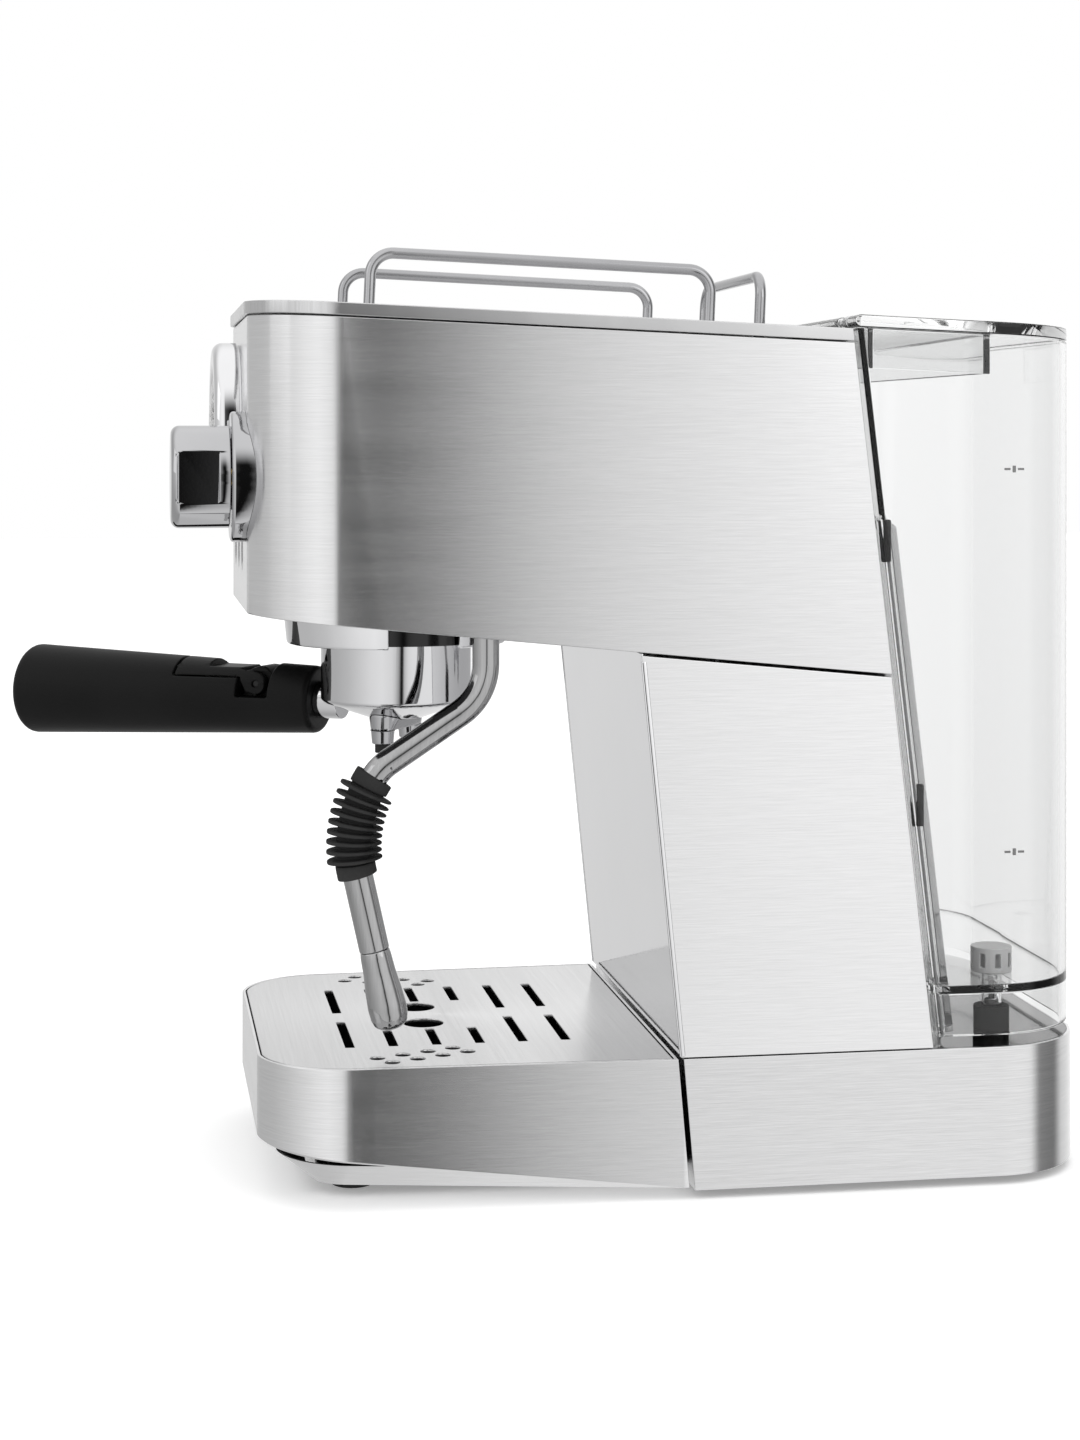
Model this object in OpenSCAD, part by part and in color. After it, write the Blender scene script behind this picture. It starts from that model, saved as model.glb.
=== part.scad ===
// Pump espresso machine: steel housing on a leaning column, drip tray in front, water tank behind.
// Millimetres. The front faces -Y, the user's right is +X, and +Z is up.
// The origin is on the counter, at the centre of the footprint of the base and the drip tray.

/* [Base] */
// Length of the base and the drip tray together
base_l = 295.2; // [290:0.2:300]
// Width of the base, the column and the rear of the housing
base_w = 167; // [164:1:172]
// Height of the base skirt above its lower edge
skirt_h = 45.5; // [43:0.5:48]
// Height of the rubber feet
foot_h = 3; // [2:0.5:4]
// Diameter of a rubber foot
foot_d = 16; // [12:1:20]
// Thickness of the steel sheet
sheet = 1.2; // [1:0.1:1.5]
// Radius of the upright rear corners
rear_r = 36; // [30:1:40]
// Thickness of the plastic bottom pan
pan_t = 2.5; // [2:0.5:3.5]
// Half width of the tongue of the pan that runs under the drip tray
tongue_w = 52; // [46:1:54]
// Thickness of the glossy deck on the base
deck_t = 3; // [2:0.5:4]

/* [Drip tray] */
// Width of the tray at its front corners
front_w = 160.8; // [158:0.4:163]
// Radius of the upright front corners
front_r = 31.8; // [28:0.4:34]
// How far the centre of a front corner lies behind the flat front
corner_back = 31.5; // [27:0.5:33]
// Height of the crease above the skirt's lower edge, at the front
crease_h = 17.5; // [15:0.5:20]
// How far the lower edge of the tray is set in from its wall
crease_in = 20; // [16:1:22]
// Gap between the tray and the base
tray_gap = 1.8; // [1.5:0.1:4]
// Lean of the seam between the tray and the base, in degrees
seam_lean = 5; // [3:0.5:7]
// Depth of the drip basin
basin_h = 32; // [26:1:34]
// Thickness of the moulded plastic walls
wall = 2; // [1.5:0.5:2.5]
// Thickness of the slotted grid
grid_t = 1.4; // [1:0.1:2]
// Width of the drain slots
slot_w = 3.2; // [2.6:0.2:4]
// Pitch of the rows of slots
slot_pitch = 15.4; // [14.6:0.2:16]
// Diameter of the two finger holes
finger_d = 14.5; // [12:0.5:16]
// Diameter of the small drain holes beside the slots
drain_d = 5.3; // [4:0.1:6]

/* [Column] */
// Lean of the splash plate, in degrees
splash_lean = 5.74; // [4:0.1:7]
// Lean of the back of the column and the housing, in degrees
back_lean = 6.67; // [5:0.1:8]
// Distance from the front of the base to the back of the column, at the top of the base
back_y0 = 87; // [84:0.5:90]
// Width of the bright edge strip at the front of the side panels
edge_strip = 3; // [2:0.5:4]
// Width of the recessed groove between the column and the housing
groove = 2.2; // [1.5:0.1:3]

/* [Housing] */
// How far the housing stands ahead of the drip tray
nose_out = 3.5; // [2:0.5:5]
// Height of the housing's lower edge at the front
floor_z0 = 201.6; // [198:0.2:206]
// Slope of the housing's lower edge, in degrees
floor_slope = 5.56; // [4:0.1:7]
// Height of the top plate at the front
top_z0 = 309.8; // [306:0.2:314]
// Slope of the top plate, in degrees
top_slope = 2.51; // [1.5:0.1:3.5]
// Height of the rim of the top plate
plate_h = 4.4; // [3:0.2:5]
// Height of the shadow gap under the top plate
plate_gap = 0.5; // [0.2:0.1:1]

/* [Cup rails] */
// Diameter of the rail wire
wire_d = 4; // [3:0.5:5]
// Height of the rails above the top plate
rail_h = 21.4; // [18:0.2:24]
// Bend radius at the middle of the wire
wire_bend = 8; // [6:0.5:10]
// Distance of the side rails from the centre plane
rail_x = 55; // [48:1:60]
// Length of the side rails
rail_l = 125.5; // [115:0.5:130]
// Length of the rear rail
rear_rail_l = 94; // [84:1:100]

/* [Group and portafilter] */
// Distance from the front of the housing to the axis of the group
group_back = 57.7; // [55:0.1:60]
// Height of the lower edge of the group shroud
shroud_z = 187; // [186:0.2:188]
// Diameter of the shroud at its lower edge
shroud_d = 81; // [79:0.5:83]
// Outer diameter of the portafilter body
cup_d = 55.8; // [55:0.2:56.4]
// Height of the corner between the wall and the bottom of the portafilter
cup_z = 165.7; // [163:0.1:168]
// Angle of the handle to the user's left of straight ahead, in degrees
handle_turn = 31; // [26:1:34]
// Distance from the group axis to the near end of the grip
grip_near = 31.5; // [31:0.5:33]
// Distance from the group axis to the far end of the grip
grip_far = 157; // [150:1:165]
// Diameter of the grip at its near end
grip_d0 = 25.2; // [24:0.2:27]
// Diameter of the grip at its far end
grip_d1 = 34.4; // [32:0.2:36]
// Distance of each spout from the group axis
spout_x = 11.8; // [10.5:0.1:13]
// Diameter of the basket
basket_d = 50.4; // [49.8:0.1:50.8]
// Depth of the basket
basket_h = 24; // [20:0.5:25]

/* [Gauge and steam knob] */
// Outer diameter of the gauge bezel
gauge_d = 62; // [58:1:66]
// How far the bezel stands out
gauge_out = 9.8; // [8:0.2:12]
// Diameter of the gauge window
window_d = 42; // [38:1:46]
// Height of the gauge centre
gauge_z = 266.7; // [264:0.1:269]
// Place of the gauge across the front, left of the centre plane
gauge_x = -12; // [-14:0.5:-11]
// Distance of the steam knob from the centre plane
knob_x = 39.5; // [39.5:0.5:42]
// Height of the steam knob's axis
knob_z = 248.8; // [246:0.2:251]
// Diameter of the steam knob
knob_d = 36; // [33:0.5:38]
// Length of the steam knob
knob_l = 20.7; // [18:0.1:23]
// Diameter of the collar behind the knob
collar_d = 46; // [43:0.5:48]
// How far the collar stands out
collar_out = 5.3; // [4:0.1:7]
// Diameter of the push buttons
button_d = 14; // [12:0.5:16]
// Travel of the push buttons
button_travel = 1.5; // [1:0.1:2]

/* [Steam wand] */
// Distance of the wand from the centre plane
wand_x = 59; // [57:0.5:61]
// Distance from the group axis back to the wand's swivel axis
wand_back = 25.1; // [23:0.1:27]
// Diameter of the steam pipe
pipe_d = 9.5; // [9:0.1:10]
// Diameter of the ribs of the rubber boot
boot_d = 19.4; // [18:0.2:21]
// Number of ribs on the boot
boot_ribs = 9; // [7:1:10]
// Diameter of the lower tube
froth_d = 10.6; // [10:0.1:11.4]
// Length of the lower tube
froth_l = 30.5; // [29:0.5:32]
// Length of the steam nozzle
nozzle_l = 28; // [26:0.5:29]

/* [Water tank] */
// Thickness of the clear tank wall
tank_wall = 2.5; // [2:0.1:3]
// Clearance of the tank from the rear panel
tank_gap = 2; // [1:0.1:3]
// Height of the tank's lower edge above the deck
tank_lift = 3.8; // [2.5:0.1:5]
// Height of the tank floor above the deck
tank_floor = 21; // [18:0.5:24]
// Thickness of the lid
lid_t = 4.4; // [3:0.2:5]
// Depth of the lid's inner skirt
lid_skirt = 14; // [10:0.5:18]
// Distance of the outlet valve from the centre plane
valve_x = 54; // [50:0.5:56]

/* [Hidden] */

round_fn = 96;              // Fineness of round faces
small_fn = 32;              // Fineness inside hulls
slack = 0.3;                // Clearance between pieces that pass each other
shaft_slack = 0.05;         // Radial clearance of a running shaft
far = 400;                  // Longer than any cut needs
tiny = 0.01;                // Overlap of a cut past a face

front_y = -base_l / 2;      // Flat front of the drip tray
rear_y = base_l / 2;        // Rear of the base
nose_y = front_y - nose_out;  // Flat front of the housing
base_top = foot_h + skirt_h;  // Upper edge of the base skirt
corner_x = front_w / 2 - front_r;
rear_corner_x = base_w / 2 - rear_r;
seam_y = -2.9;              // Front of the base at its upper edge
splash_y0 = -3.9;           // Foot of the splash plate
back_y_base = back_y0;      // Back of the column at the upper edge of the base
group_y = nose_y + group_back;
wand_y = group_y + wand_back;

// Heights of the sloping planes, and places of the leaning planes
function top_z(y) = top_z0 - (y - nose_y) * tan(top_slope);
function seam_z(y) = top_z(y) - plate_h - plate_gap;
function floor_z(y) = floor_z0 - (y - nose_y) * tan(floor_slope);
function back_y(z) = back_y_base - (z - base_top) * tan(back_lean);
function splash_y(z) = splash_y0 - (z - base_top) * tan(splash_lean);
function seam_line(z) = seam_y - (z - base_top) * tan(seam_lean);
// Where a plane that is z0 high at the nose and slopes down to the rear meets the leaning back
function meet_back(z0, slope) =
    (back_y_base - (z0 + nose_y * tan(slope) - base_top) * tan(back_lean)) / (1 - tan(slope) * tan(back_lean));

// Footprint outline: flat nose, round corners, sides that widen to the seam. The inset shrinks it.
module plan(inset = 0, nose = front_y) {
    corner_y = nose + corner_back;
    intersection() {
        union() {
            for (side = [-1, 1]) {
                translate([side * corner_x, corner_y]) circle(r = front_r - inset, $fn = round_fn);
                translate([side * rear_corner_x, rear_y - rear_r]) circle(r = rear_r - inset, $fn = round_fn);
            }
            polygon([
                [-corner_x, nose + inset], [corner_x, nose + inset],
                [corner_x + front_r - inset, corner_y], [base_w / 2 - inset, seam_y],
                [base_w / 2 - inset, rear_y - rear_r], [rear_corner_x, rear_y - inset],
                [-rear_corner_x, rear_y - inset], [-base_w / 2 + inset, rear_y - rear_r],
                [-base_w / 2 + inset, seam_y], [-corner_x - front_r + inset, corner_y]]);
        }
        translate([-base_w, nose + inset]) square([2 * base_w, 2 * base_l]);
    }
}

// A slab of the footprint between two heights
module plan_slab(z0, z1, inset = 0, nose = front_y) {
    translate([0, 0, z0]) linear_extrude(z1 - z0) plan(inset, nose);
}

// A side view, as points of Y and Z, carried right across the machine
module side_cut(points, half = base_w) {
    translate([-half, 0, 0]) rotate([90, 0, 90]) linear_extrude(2 * half) polygon(points);
}

// A round bar, tube blank or hole along Y, from y0 to y1
module along_y(x, z, y0, y1, r) {
    translate([x, y1, z]) rotate([90, 0, 0]) cylinder(h = y1 - y0, r = r, $fn = round_fn);
}

// Side view of the housing between its floor and its seam; each edge can be moved
function housing_points(low = 0, high = 0, back = 0) = [
    [nose_y - 20, floor_z(nose_y - 20) + low],
    [meet_back(floor_z0 + low, floor_slope) + back, floor_z(meet_back(floor_z0 + low, floor_slope)) + low],
    [meet_back(seam_z(nose_y) + high, top_slope) + back, seam_z(meet_back(seam_z(nose_y) + high, top_slope)) + high],
    [nose_y - 20, seam_z(nose_y - 20) + high]];

// ---------- Housing ----------

stem_hole_r = 6;
button_z = 222;
button_pitch = 24;
button_x0 = -30;            // The first of the three buttons
button_names = 3;
case_r = window_d / 2 + 5;

// Bent steel sheet that forms the front and both sides of the upper body
module housing_wrap() {
    color("silver") difference() {
        intersection() {
            plan_slab(floor_z0 - 60, top_z0, 0, nose_y);
            side_cut(housing_points());
        }
        plan_slab(0, far, sheet, nose_y);
        along_y(gauge_x, gauge_z, nose_y - 1, nose_y + 5, case_r);
        along_y(knob_x, knob_z, nose_y - 1, nose_y + 5, stem_hole_r);
        for (i = [0 : button_names - 1])
            along_y(button_x0 + i * button_pitch, button_z, nose_y - 1, nose_y + 5, button_d / 2 + slack);
    }
}

plate_out = 0.4;            // The top plate's overhang at the sides
rail_hole_r = wire_d / 2 + 0.1;
rail_y0 = nose_y + 42.2;    // Front leg of the side rails
rear_rail_y = nose_y + 184.5;
leg_sink = 3;               // How far the rail legs pass through the top plate

// Stamped cup warmer plate with a turned-down rim
module top_plate() {
    module slope_slab(z_low, z_high, inset) {
        intersection() {
            plan_slab(top_z0 - 60, top_z0 + 10, inset, nose_y - 0.7);
            side_cut([
                [nose_y - 20, top_z(nose_y - 20) + z_low],
                [meet_back(top_z0 + z_low, top_slope) - (inset + plate_out), top_z(meet_back(top_z0 + z_low, top_slope)) + z_low],
                [meet_back(top_z0 + z_high, top_slope) - (inset + plate_out), top_z(meet_back(top_z0 + z_high, top_slope)) + z_high],
                [nose_y - 20, top_z(nose_y - 20) + z_high]]);
        }
    }
    color("gainsboro") difference() {
        slope_slab(-plate_h, 0, -plate_out);
        slope_slab(-plate_h - 2, -sheet, sheet);
        for (side = [-1, 1]) {
            for (y = [rail_y0, rail_y0 + rail_l - wire_d])
                translate([side * rail_x, y, top_z(y)]) rotate([-top_slope, 0, 0])
                    cylinder(h = 2 * plate_h, r = rail_hole_r, center = true, $fn = round_fn);
            translate([side * (rear_rail_l - wire_d) / 2, rear_rail_y, top_z(rear_rail_y)]) rotate([-top_slope, 0, 0])
                cylinder(h = 2 * plate_h, r = rail_hole_r, center = true, $fn = round_fn);
        }
    }
}

// A wire hoop along +X from the first leg, with its feet sunk through the plate
module hoop(span) {
    leg_h = rail_h - wire_d / 2 - wire_bend;
    for (end = [0, 1])
        translate([end * span, 0, 0]) mirror([end, 0, 0]) {
            translate([0, 0, -leg_sink]) cylinder(h = leg_h + leg_sink, d = wire_d, $fn = round_fn);
            translate([wire_bend, 0, leg_h]) rotate([90, 0, 180]) rotate_extrude(angle = 90, $fn = round_fn)
                translate([wire_bend, 0]) circle(d = wire_d, $fn = round_fn);
        }
    translate([wire_bend, 0, leg_h + wire_bend]) rotate([0, 90, 0])
        cylinder(h = span - 2 * wire_bend, d = wire_d, $fn = round_fn);
}

module side_rails() {
    color("lightgray") for (side = [-1, 1])
        translate([side * rail_x, rail_y0, top_z(rail_y0)]) rotate([-top_slope, 0, 0]) rotate([0, 0, 90])
            hoop(rail_l - wire_d);
}

module rear_rail() {
    color("lightgray") translate([-(rear_rail_l - wire_d) / 2, rear_rail_y, top_z(rear_rail_y)])
        rotate([-top_slope, 0, 0]) hoop(rear_rail_l - wire_d);
}

floor_t = 1.6;              // Plate that closes the housing from below
floor_up = 1;               // Its height above the housing's lower edge
shroud_top_r = shroud_d / 2 + 2;
nut_r = 9;

module housing_floor() {
    color("dimgray") difference() {
        intersection() {
            plan_slab(floor_z0 - 60, top_z0, sheet, nose_y);
            side_cut([
                [nose_y - 20, floor_z(nose_y - 20) + floor_up],
                [meet_back(floor_z0, floor_slope) - 4, floor_z(meet_back(floor_z0, floor_slope) - 4) + floor_up],
                [meet_back(floor_z0, floor_slope) - 4, floor_z(meet_back(floor_z0, floor_slope) - 4) + floor_up + floor_t],
                [nose_y - 20, floor_z(nose_y - 20) + floor_up + floor_t]]);
        }
        translate([0, group_y, 0]) cylinder(h = far, r = shroud_top_r + slack, $fn = round_fn);
        translate([wand_x, wand_y, 0]) cylinder(h = far, r = nut_r + slack, $fn = round_fn);
        translate([-column_hollow, splash_y(base_top) + 4, 0]) cube([2 * column_hollow, 60, far]);
    }
}

// ---------- Column ----------

column_hollow = 62;         // Half width of the passage between the column and the housing
column_gap = 0.4;           // Joint between column pieces

// Side view of the column; the front and back can be moved
function column_points(front = 0, back = 0, low = 0, top = 0) = let (
    zl = base_top + low,
    zf = floor_z(splash_y(185)) - top,
    yb = meet_back(floor_z0 - top, floor_slope)) [
    [splash_y(zl) + front, zl], [back_y(zl) + back, zl], [yb + back, floor_z(yb) - top],
    [splash_y(zf) + front, zf]];

// Polished splash plate
module column_front() {
    color("gainsboro") intersection() {
        side_cut([for (p = [0 : 3]) column_points(0, 0, column_gap, 0.2)[p]]);
        side_cut([
            [splash_y(base_top - 10), base_top - 10], [splash_y(base_top - 10) + sheet, base_top - 10],
            [splash_y(floor_z0 + 10) + sheet, floor_z0 + 10], [splash_y(floor_z0 + 10), floor_z0 + 10]]);
        translate([-base_w / 2 + sheet + column_gap, -base_l, 0]) cube([base_w - 2 * (sheet + column_gap), 2 * base_l, far]);
    }
}

// Brushed side panels with a return along the front edge
module column_sides() {
    color("silver") for (side = [-1, 1]) scale_x(side) {
        translate([base_w / 2 - sheet, 0, 0]) rotate([90, 0, 90]) linear_extrude(sheet)
            polygon(column_points(0, -column_gap, column_gap, groove));
        intersection() {
            side_cut([
                [splash_y(base_top) + sheet + column_gap, base_top + column_gap],
                [splash_y(base_top) + 2 * sheet + column_gap, base_top + column_gap],
                [splash_y(floor_z0) + 2 * sheet + column_gap, floor_z0],
                [splash_y(floor_z0) + sheet + column_gap, floor_z0]]);
            side_cut(column_points(0, 0, column_gap, groove));
            translate([base_w / 2 - sheet - 14, -base_l, 0]) cube([14 + tiny, 2 * base_l, far]);
        }
    }
}

// Mirror of a piece to the user's left where side is -1
module scale_x(side) {
    mirror([side < 0 ? 1 : 0, 0, 0]) children();
}

panel_t = 2.4;              // Moulded rear panel
guide_w = 7;                // Guide rail for the tank on the rear panel
guide_h = 4;
guide_x = base_w / 2 - 16;
guide_z0 = 80;
guide_z1 = 226;

// Moulded panel across the back of the housing and the column, with two guide rails for the tank
module rear_panel() {
    panel_top = seam_z(back_y(290)) - 0.6;
    color("gainsboro") {
        intersection() {
            side_cut([
                [back_y(base_top) - panel_t, base_top + slack], [back_y(base_top), base_top + slack],
                [back_y(panel_top), panel_top], [back_y(panel_top) - panel_t, panel_top]]);
            translate([-base_w / 2 + sheet + slack, -base_l, 0])
                cube([base_w - 2 * (sheet + slack), 2 * base_l, far]);
        }
        for (side = [-1, 1])
            intersection() {
                side_cut([
                    [back_y(guide_z0) - tiny, guide_z0], [back_y(guide_z0) + guide_h, guide_z0],
                    [back_y(guide_z1) + guide_h, guide_z1], [back_y(guide_z1) - tiny, guide_z1]]);
                translate([side * guide_x - guide_w / 2, -base_l, 0]) cube([guide_w, 2 * base_l, far]);
            }
    }
}

// ---------- Base ----------

foot_x = 44;
foot_front_y = front_y + 34;
foot_rear_y = rear_y - 30;
boss_x = 68;                // Posts of the pan under the deck
boss_y = [20, 96];

// Brushed skirt round the rear base, closed across its front
module base_skirt() {
    module body(inset, z0, z1) {
        intersection() {
            plan_slab(z0, z1, inset);
            side_cut([
                [seam_line(z0) + inset, z0], [far, z0], [far, z1], [seam_line(z1) + inset, z1]]);
        }
    }
    color("silver") difference() {
        body(0, foot_h, base_top);
        body(sheet, foot_h - 1, base_top + 1);
        translate([-tongue_w - slack, seam_y - 20, 0]) cube([2 * (tongue_w + slack), 30, foot_h + pan_t + slack]);
        along_y(0, foot_h + 16, rear_y - 5, rear_y + 5, gland_r + slack);
    }
}

gland_r = 5.5;

// Bottom pan with a tongue that carries the drip tray
module base_pan() {
    color("#222222") difference() {
        union() {
            intersection() {
                plan_slab(foot_h, foot_h + pan_t, sheet);
                translate([-base_w, seam_y + 6, 0]) cube([2 * base_w, base_l, base_top]);
            }
            translate([-tongue_w, foot_front_y - 12, foot_h]) cube([2 * tongue_w, -foot_front_y + 18 + seam_y, pan_t]);
            for (side = [-1, 1])
                translate([side * (tongue_w - 14) - wall, foot_front_y - 8, foot_h])
                    cube([2 * wall, -foot_front_y - 8, basin_z - slack - foot_h]);
            for (side = [-1, 1])
                for (y = boss_y)
                    translate([side * boss_x, y, foot_h]) cylinder(h = skirt_h - deck_t, r = 5, $fn = round_fn);
        }
        for (p = foot_points())
            translate([p[0], p[1], foot_h - 1]) cylinder(h = pan_t + 2, r = 2.5, $fn = round_fn);
        for (side = [-1, 1])
            for (y = boss_y)
                translate([side * boss_x, y, foot_h - 1]) {
                    cylinder(h = 26, r = 1.8, $fn = round_fn);
                    cylinder(h = 3, r = 3.4, $fn = round_fn);
                }
    }
}

function foot_points() = [for (side = [-1, 1]) for (y = [foot_front_y, foot_rear_y]) [side * foot_x, y]];

// Push-in rubber feet, each a pad with a stud and a lip above the pan
module rubber_feet() {
    color("#1a1a1a") for (p = foot_points())
        translate([p[0], p[1], 0]) {
            cylinder(h = foot_h, d1 = foot_d - 1, d2 = foot_d, $fn = round_fn);
            translate([0, 0, foot_h - tiny]) cylinder(h = pan_t + 2 * tiny, r = 2.4, $fn = round_fn);
            translate([0, 0, foot_h + pan_t]) cylinder(h = 1.2, r = 3.4, $fn = round_fn);
        }
}

// Glossy deck that closes the base under the tank and the column
module tank_deck() {
    color("#101010") difference() {
        intersection() {
            plan_slab(base_top - deck_t, base_top, sheet);
            side_cut([
                [seam_line(base_top) + sheet + 0.4, 0], [far, 0], [far, far], [seam_line(base_top) + sheet + 0.4, far]]);
        }
        translate([-column_hollow, splash_y0 + 12, 0]) cube([2 * column_hollow, back_y0 - splash_y0 - 26, far]);
        translate([valve_x, valve_y, 0]) cylinder(h = far, r = socket_r - 1.5 + 0.1, $fn = round_fn);
    }
}

socket_r = 6.5;
socket_h = 8.7;
valve_y = rear_y - 30.1;
pipe_r = 3.85;              // Outlet pipe of the tank
pin_h = 5;

// Rubber socket that takes the outlet pipe, with the pin that lifts the valve
module valve_socket() {
    color("#2b2b2b") translate([valve_x, valve_y, 0]) {
        difference() {
            union() {
                translate([0, 0, base_top]) cylinder(h = socket_h, r = socket_r, $fn = round_fn);
                translate([0, 0, base_top - deck_t - 6]) cylinder(h = deck_t + 6 + tiny, r = socket_r - 1.5, $fn = round_fn);
            }
            translate([0, 0, base_top + 1]) cylinder(h = far, r = pipe_r + slack, $fn = round_fn);
            translate([0, 0, 0]) cylinder(h = far, r = 2.2, $fn = round_fn);
        }
        difference() {
            translate([0, 0, base_top]) cylinder(h = pin_h, r = 1.1, $fn = round_fn);
        }
        translate([-2.3, -0.5, base_top]) cube([4.6, 1, 1]);
    }
}

// Ring where a lead would enter at the back
module cable_gland() {
    color("#1a1a1a") difference() {
        union() {
            along_y(0, foot_h + 16, rear_y, rear_y + 2, gland_r + 2);
            along_y(0, foot_h + 16, rear_y - 8, rear_y + tiny, gland_r);
        }
        along_y(0, foot_h + 16, rear_y - 9, rear_y + 3, 3.5);
    }
}

// ---------- Drip tray ----------

tray_back = seam_y - tray_gap;
grid_lip = 2.2;             // Width of the rim round the grid
function tray_line(z) = tray_back - (z - base_top) * tan(seam_lean);
function crease_z(y) = foot_h + crease_h - (y - front_y) * crease_h / (tray_back - front_y);
tray_low = foot_h + 1;      // Lower edge of the tray

// Outer form of the tray: upright wall above a slanting crease, flat facets below it
module tray_form(inset) {
    hull() {
        intersection() {
            plan_slab(foot_h, base_top, inset);
            side_cut([
                [front_y - 5, crease_z(front_y - 5)], [tray_line(tray_low) - inset, tray_low + 0.1],
                [tray_line(base_top) - inset, base_top], [front_y - 5, base_top]]);
        }
        intersection() {
            plan_slab(tray_low, tray_low + 0.1, crease_in + inset);
            translate([-base_w, front_y, 0]) cube([2 * base_w, tray_line(tray_low) - inset - front_y, base_top]);
        }
    }
}

// Steel tray cover, open below over the tongue of the pan
module drip_tray() {
    color("silver") difference() {
        tray_form(0);
        difference() {
            union() {
                tray_form(sheet);
                translate([-tongue_w - 2, foot_front_y - 16, 0]) cube([2 * tongue_w + 4, base_l / 2, basin_z + 4]);
            }
        }
        translate([0, 0, basin_z]) linear_extrude(far) intersection() {
            plan(sheet);
            translate([-base_w, front_y]) square([2 * base_w, tray_back - sheet - 1 - front_y]);
        }
    }
    // Ledge that the basin's rim hangs on
    color("silver") translate([0, 0, rim_low - sheet]) linear_extrude(sheet) difference() {
        intersection() {
            plan(sheet - tiny);
            translate([-base_w, front_y]) square([2 * base_w, tray_back - sheet - 1 + tiny - front_y]);
        }
        intersection() {
            plan(sheet + 3);
            translate([-base_w, front_y]) square([2 * base_w, tray_back - sheet - 4 - front_y]);
        }
    }
}

basin_z = base_top - grid_t - basin_h;
basin_in = 10;              // Inset of the basin from the tray's wall
rim_top = base_top - grid_t - slack;  // Upper and lower face of the basin's rim
rim_low = rim_top - 1.5;

// Plastic basin with a rim that hangs in the tray
module drip_basin() {
    module cut(inset, z0, z1) {
        intersection() {
            plan_slab(z0, z1, inset);
            translate([-base_w, front_y, 0]) cube([2 * base_w, tray_back - inset - 1 - front_y, far]);
        }
    }
    color("#222222") difference() {
        union() {
            cut(basin_in, basin_z, rim_top);
            cut(sheet, rim_low, rim_top);
        }
        cut(basin_in + wall, basin_z + wall, far);
    }
}

grid_in = sheet + 0.5;
slot_y0 = front_y + 32.8;
long_slots = [0, 4, 5];     // Rows that reach in to the middle
slot_out = 48;
slot_in_long = 7.5;
slot_in_short = 23;
finger_x = 13.5;
finger_y = front_y + 62.7;

// Slotted steel grid
module drip_grid() {
    color("gainsboro") difference() {
        intersection() {
            plan_slab(base_top - grid_t, base_top, grid_in);
            translate([-base_w, front_y, 0]) cube([2 * base_w, tray_back - sheet - 0.6 - front_y, far]);
        }
        for (row = [0 : 5])
            for (side = [-1, 1]) {
                start = len(search(row, long_slots)) > 0 ? slot_in_long : slot_in_short;
                translate([side > 0 ? start : -slot_out, slot_y0 + row * slot_pitch - slot_w / 2, 0])
                    cube([slot_out - start, slot_w, far]);
            }
        for (side = [-1, 1]) {
            translate([side * finger_x, finger_y, 0]) cylinder(h = far, d = finger_d, $fn = round_fn);
            for (i = [0 : 3]) {
                translate([side * (65 - 3.7 * i), front_y + 40.7 + 9.2 * i, 0])
                    cylinder(h = far, d = drain_d, $fn = round_fn);
                translate([side * (71.7 - 3.9 * i), front_y + 45.2 + 9.2 * i, 0])
                    cylinder(h = far, d = drain_d, $fn = round_fn);
            }
        }
    }
}

// ---------- Group ----------

shroud_h = 20;
shroud_t = 1.6;
head_top = 232;
head_step = 210;            // Where the casting narrows above the gasket
neck_top_r = 29;
head_r = shroud_d / 2 - shroud_t - 0.8;
chamber_r = 34.6;           // Space that the portafilter's lugs turn in
flange_r = 31;              // Opening of the bayonet flange
flange_z0 = shroud_z + 1;
flange_t = 4;
entry_half = 19;            // Half angle of a bayonet entry
lug_half = 14;              // Half angle of a lug
lug_angles = [0, 130, 230];
gasket_z0 = 198.1;
gasket_z1 = 206;
handle_angle = 270 - handle_turn;  // Direction of the handle about the group axis, from +X

// A wedge of angle 2 * half about the group axis, centred on an angle
module wedge(angle, half, r, z0, z1) {
    translate([0, 0, z0]) rotate([0, 0, angle - half]) linear_extrude(z1 - z0)
        polygon([[0, 0], [r, 0], [r, r * tan(half)], [r * cos(2 * half) - 0 * r, r * sin(2 * half)]]);
}

// Chrome shroud with the entry notch on the user's right
module group_shroud() {
    color("lightgray") translate([0, group_y, 0]) difference() {
        rotate_extrude($fn = round_fn) polygon([
            [shroud_d / 2 - shroud_t, shroud_z], [shroud_d / 2 - 0.5, shroud_z], [shroud_d / 2, shroud_z + 0.6],
            [shroud_top_r, shroud_z + shroud_h], [head_r, shroud_z + shroud_h], [head_r, shroud_z + shroud_h - shroud_t],
            [shroud_top_r - shroud_t, shroud_z + shroud_h - shroud_t]]);
        wedge(handle_angle + lug_angles[1], entry_half, 80, shroud_z - 1, shroud_z + 15);
    }
}

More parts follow.
